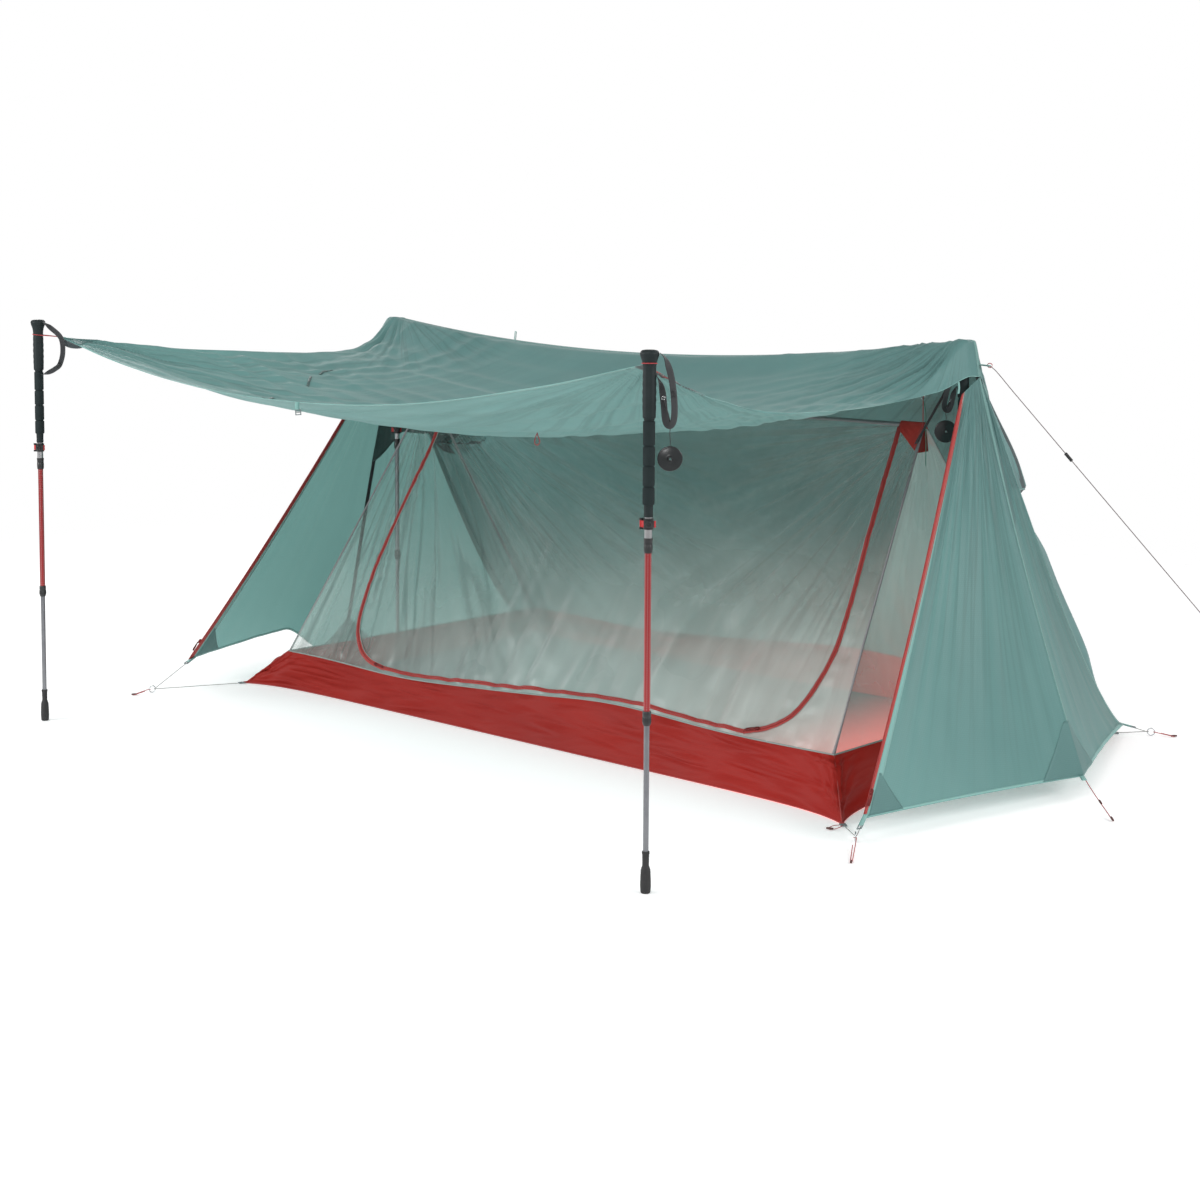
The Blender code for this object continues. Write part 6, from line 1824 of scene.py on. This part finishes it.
# Ridge guyline fittings
# A mint tab at the cap's edge holds the guyline with a bight of red cord. The tightener is a ribbed black tube that
# slides along the line.
webbing_tab("guyline_tab", GUY_ROOT + Vector((-0.010, 0.0, 0.002)), Vector((1.0, 0.0, -0.06)), UP, 0.034, 0.012,
            mint_tape)
tie_middle = GUY_ROOT + Vector((0.026, 0.0, 0.001))
mapped_tube("guyline_tie", [tie_middle + Vector((0.007 * math.cos(turn), 0.0, 0.0055 * math.sin(turn)))
                            for turn in full_turn(24)], 0.0011, red_cord, "cord_red", sides=8)
TIGHTENER_R = 0.0042
half = 0.013
hole = CORD_R + 0.0006
tight_profile = [(TIGHTENER_R - 0.0014, half), (TIGHTENER_R - 0.0004, half - 0.0006), (TIGHTENER_R, half - 0.0020)]
for k in range(5):
    z = half - 0.0042 - 0.0038 * k
    tight_profile += [(TIGHTENER_R, z + 0.0010), (TIGHTENER_R - 0.0007, z + 0.0004),
                      (TIGHTENER_R - 0.0007, z - 0.0004), (TIGHTENER_R, z - 0.0010)]
tight_profile += [(TIGHTENER_R, -half + 0.0020), (TIGHTENER_R - 0.0004, -half + 0.0006),
                  (TIGHTENER_R - 0.0014, -half), (hole, -half), (hole, half)]
turned_piece("line_tightener_body", tight_profile, GUY_START + guy_run * (GUY_TIGHTENER - GUY_START).length,
             guy_run, black_moulding, "black_plastic", "tightener", stands_for="line_tightener")

# The lengths of the pulled cords are worked out once the pieces on them are there, and not kept.
for cord, route, far_end, on_it in taut_cords:
    runs_along(route)[-1]

# Awning fittings
# Loops of red cord hold the awning's corners to the handles. Tie tapes, a toggle loop and a mint tab with a buckle
# hang from the front panel, for when it is rolled up or closed.
LOOP_Z = {"right": 1.1225, "left": 1.1080}
GAPS_BEHIND = ((0.45, 0.0105), (0.72, 0.0062), (0.92, 0.0030))
for sign, side in SIDES:
    top = POLE_TOPS["front_" + side]
    pole = Vector((top.x, top.y, LOOP_Z[side]))
    corner = awning_corner(sign) + UP * 0.5 * CLOTH
    toward = corner - pole
    ahead = toward.normalized()
    aside = Vector((-ahead.y, ahead.x, 0.0)).normalized()
    hold = GRIP_R + 0.030 * (0.048 - top.z + pole.z) + CORD_R + GAP
    knots = [pole + ahead * hold * math.cos(turn) + aside * hold * math.sin(turn)
             for turn in map(math.radians, steps(70.0, 290.0, 24))]
    tip = ahead * (toward.length - CORD_R - GAP)
    knots += [pole + tip * share - aside * half_gap for share, half_gap in GAPS_BEHIND] + [pole + tip]
    knots += [pole + tip * share + aside * half_gap for share, half_gap in reversed(GAPS_BEHIND)]
    cord_piece("awning_loop_" + side + "_cord", knots, red_cord, "cord_red", "awning_loop_" + side, closed=True)
    inward = (roof_spot(0.5 + sign * 0.40, 0.93) - awning_corner(sign)).normalized()
    webbing_tab("awning_tab_" + side, awning_corner(sign) + inward * 0.034, -inward, UP, 0.032, 0.014,
                zip_red if sign > 0 else mint_tape, 0.0032, "red_tape" if sign > 0 else "fly_cloth")


def plain_cloth(name, dark, light, glow, through, crease_depth=0.002):
    return cloth_finish(name, dark, light, glow, through, 0.42, 0.6, WHITE, crease_depth)


dark_patch = plain_cloth("dark_patch", (0.024, 0.036, 0.040), (0.038, 0.052, 0.056), (0.06, 0.08, 0.08), 0.10)
peak_cloth = plain_cloth("peak_cloth", (0.060, 0.082, 0.084), (0.085, 0.112, 0.114), (0.10, 0.13, 0.13), 0.15)
tie_cloth = plain_cloth("tie_cloth", (0.060, 0.118, 0.112), (0.082, 0.150, 0.142), (0.10, 0.16, 0.15), 0.15)
corner_patch = plain_cloth("corner_patch", (0.118, 0.256, 0.246), (0.145, 0.300, 0.288), (0.17, 0.34, 0.32), 0.32,
                           0.003)


for sign, side in SIDES:
    wide, deep = (0.085, 0.13) if sign > 0 else (0.12, 0.10)
    edge_tape("awning_corner_" + side + "_patch",
              lambda u, v: roof_spot(from_edge(sign, wide * u * (1.0 - v)), 1.0 - deep * v), steps(0.0, 1.0, 20),
              steps(0.0, 0.96, 20), peak_cloth if sign > 0 else corner_patch, thickness=0.0024, flip=sign < 0)


def left_flap(u, v):
    # The dark under-layer that shows below the hem at the left corner: partly a dark corner patch, and partly
    # painted shade of the awning's underside.
    top = roof_spot(0.002 + 0.135 * u, 1.0)
    drop = 0.020 * math.sin(math.pi * min(1.0, u + 0.08)) ** 0.7
    return top + Vector((0.0, 0.004 * v, -0.001 - drop * v))


edge_tape("awning_corner_left_flap", left_flap, steps(0.0, 0.92, 24), steps(0.0, 1.0, 5), dark_patch,
          thickness=0.0010)


def hanging_tape(name, top, drop, sway, width):
    # A mint tape that hangs from its top end and sways a little.
    across = Vector((0.6, 0.6, 0.0)).normalized() * width
    row_tape(name, [[top + drop * u + sway * math.sin(math.pi * u) + across * share
                     for share in steps(-0.5, 0.5, 3)] for u in steps(0.0, 1.0, 16)], mint_tape, thickness=0.0008)


for k, (near, near_v, far, far_v) in enumerate(((0.190, 0.392, 0.205, 0.452), (0.213, 0.490, 0.247, 0.552),
                                                (0.306, 0.752, 0.318, 0.800))):
    row_tape("awning_tie_" + str(k), [[roof_spot(near + (far - near) * u + aside, near_v + (far_v - near_v) * u)
                                       + UP * 0.0014 for aside in (-0.0025, 0.0, 0.0025)]
                                      for u in steps(0.0, 1.0, 14)], tie_cloth, slot_name="webbing",
             thickness=0.0010)

hem_tab_at = roof_spot(0.4582, 1.0)
hanging_tape("awning_hem_tab", hem_tab_at, Vector((0.004, 0.0, -0.024)), Vector((0.0, -0.003, 0.0)), 0.011)
bar_frame("awning_hem_buckle", hem_tab_at + Vector((0.004, -0.001, -0.026)), Vector((0.1, 0.0, -1.0)), SIGHT_NEAR,
          grey_moulding, (-0.006, 0.0, 0.0, 0.0024, 0.0150, 0.0030), (0.006, 0.0, 0.0, 0.0024, 0.0150, 0.0030),
          (0.0, 0.0064, 0.0, 0.0140, 0.0024, 0.0030), (0.0, 0.0, 0.0006, 0.0022, 0.0120, 0.0026))
hung_loop("awning_toggle_loop", roof_spot(0.632, 0.745) - UP * 0.001, (
    (0.0, 0.0, 0.0), (0.004, 0.0, -0.010), (0.008, 0.002, -0.022), (0.003, 0.0, -0.031), (-0.005, -0.002, -0.028),
    (-0.006, 0.0, -0.016), (-0.001, 0.0, -0.004)), 0.0012)
webbing_tab("ridge_tab", roof_spot(0.333, 0.0) - UP * 0.004, Vector((0.10, 0.05, 1.0)), Vector((0.6, 0.8, 0.0)),
            0.030, 0.012, mint_tape, fold=0.0040)
hanging_tape("awning_side_tape_long", roof_spot(1.0, 0.062), Vector((0.003, -0.004, -0.030)),
             Vector((0.002, 0.0, 0.0)), 0.005)
# A red pull tab and a dark patch lie along the right side of the awning, next to its corner.
edge_tape("awning_side_red", lambda u, v: roof_spot(1.0 - 0.014 * v, 0.985 - 0.090 * u), steps(0.0, 1.0, 16),
          steps(0.0, 1.0, 3), zip_red, slot_name="red_tape", thickness=0.0030)
edge_tape("awning_side_patch", lambda u, v: roof_spot(1.0 - (0.034 - 0.020 * u) * v, 0.955 - 0.160 * u),
          steps(0.0, 1.0, 20), steps(0.0, 1.0, 6), peak_cloth, thickness=0.0024)

# Wall reinforcements and vents
# Dark stiffened patches take the strain inside the two peaks, and a ribbed triangle the middle of each end hem.
# High on the rear roof each end has a hooded vent, with dark mesh under the hood.


def arch(t):
    return 0.285 + 0.10 * smooth((0.75 - t) / 0.27)


for sign, side in SIDES:
    wall = end_spots[side]

    def peak_wall(u, v):
        t = 0.482 + 0.515 * u
        return wall(t, arch(t) * v) - Vector((sign * 0.0016, 0.0, 0.0))

    def peak_roof(u, v):
        place = rear_spot(from_edge(sign, 0.004 + 0.085 * u), SEAM_TOP + (0.285 + 0.075 * u) * v)
        return place + Vector((0.0, -0.0014, -0.0008))

    def hem_patch(u, v):
        return wall(0.5 + (u - 0.5) * 0.20 * (0.10 + 0.90 * v), 0.865 + 0.133 * v)

    def foot_patch(u, v):
        return wall(0.005 + 0.075 * u * v, 0.90 + 0.096 * v)

    def vent_mesh(u, v):
        drop = 0.020 * math.sin(math.pi * u) + 0.034 * v * math.sin(math.pi * min(1.0, u * 0.96 + 0.02)) ** 0.5
        place = rear_spot(from_edge(sign, 0.040 + 0.165 * u), 0.312 + drop)
        return place + Vector((0.0, 0.0012, 0.0008))
    for name, spot, columns, v_steps, finish, thickness, flip in (
            ("peak_patch_wall_", peak_wall, 40, steps(0.0, 1.0, 24), tie_cloth, 0.0008, sign > 0),
            ("peak_patch_roof_", peak_roof, 26, steps(0.0, 1.0, 24), peak_cloth, 0.0008, sign > 0),
            ("end_hem_patch_", hem_patch, 24, steps(0.0, 1.0, 18), corner_patch, 0.0022, sign > 0),
            ("end_foot_patch_", foot_patch, 14, steps(0.05, 1.0, 16), corner_patch, 0.0022, sign > 0)):
        edge_tape(name + side, spot, steps(0.0, 1.0, columns), v_steps, finish, thickness=thickness, flip=flip)
    hood = [rear_spot(from_edge(sign, 0.030 + 0.185 * u), 0.300 + 0.020 * math.sin(math.pi * u))
            + Vector((0.0, 0.0014, 0.0008)) for u in steps(0.0, 1.0, 40)]
    mapped_tube("vent_hood_edge_" + side, hood, 0.0022, seam_cloth, "fly_cloth", sides=8)
    edge_tape("vent_mesh_" + side, vent_mesh, steps(0.0, 1.0, 30), steps(0.0, 1.0, 6), dark_patch, thickness=0.0006)

# Inner tent hangers
# At the right apex a red shock cord and a black strap hold the inner tent up to the ridge and to the ridge pole.
elastic_green = braided("elastic_green", (0.06, 0.22, 0.16), 420.0, 0.6)
hang_x = INNER_HALF - 0.006
hang_start = Vector((hang_x, -0.0008, INNER_Z + 0.0070))
hang_end = Vector((hang_x, -0.0045, ridge_height(hang_x) - GAP))
cord_piece("apex_cord_right_cord", [hang_start.lerp(hang_end, k / 8.0) for k in range(9)], red_cord, "cord_red",
           "apex_cord_right")
turned_piece("apex_ring", round_wire(0.0052, 0.0009, 10), hang_start.lerp(hang_end, 0.34) - UP * 0.004, SIGHT_NEAR,
             bright_steel, "steel", count=28)
hang_low = Vector((INNER_HALF + 0.0014, -0.0428, 0.858))
hang_high = Vector((RIDGE_HALF - GRIP_R - 3.0 * GAP, -0.020, 1.060))
row_tape("apex_strap_right_band", [[hang_low.lerp(hang_high, u) + Vector((0.0, aside, 0.0))
                                    for aside in steps(-0.006, 0.006, 4)] for u in steps(0.0, 1.0, 24)], webbing,
         slot_name="webbing", thickness=0.0014, stands_for="apex_strap_right")
green_run = [hang_start.lerp(hang_end, 0.30), hang_start.lerp(hang_end, 0.24) + Vector((0.012, -0.010, -0.006)),
             Vector((INNER_HALF + 0.014, -0.018, 0.930)), Vector((INNER_HALF + 0.022, -0.030, 0.905)),
             Vector((INNER_HALF + 0.026, -0.034, 0.870)), Vector((INNER_HALF + 0.027, -0.034, 0.800))]
mapped_tube("apex_elastic", smooth_route(green_run, 40), 0.0010, elastic_green, "cord_pale", sides=8)
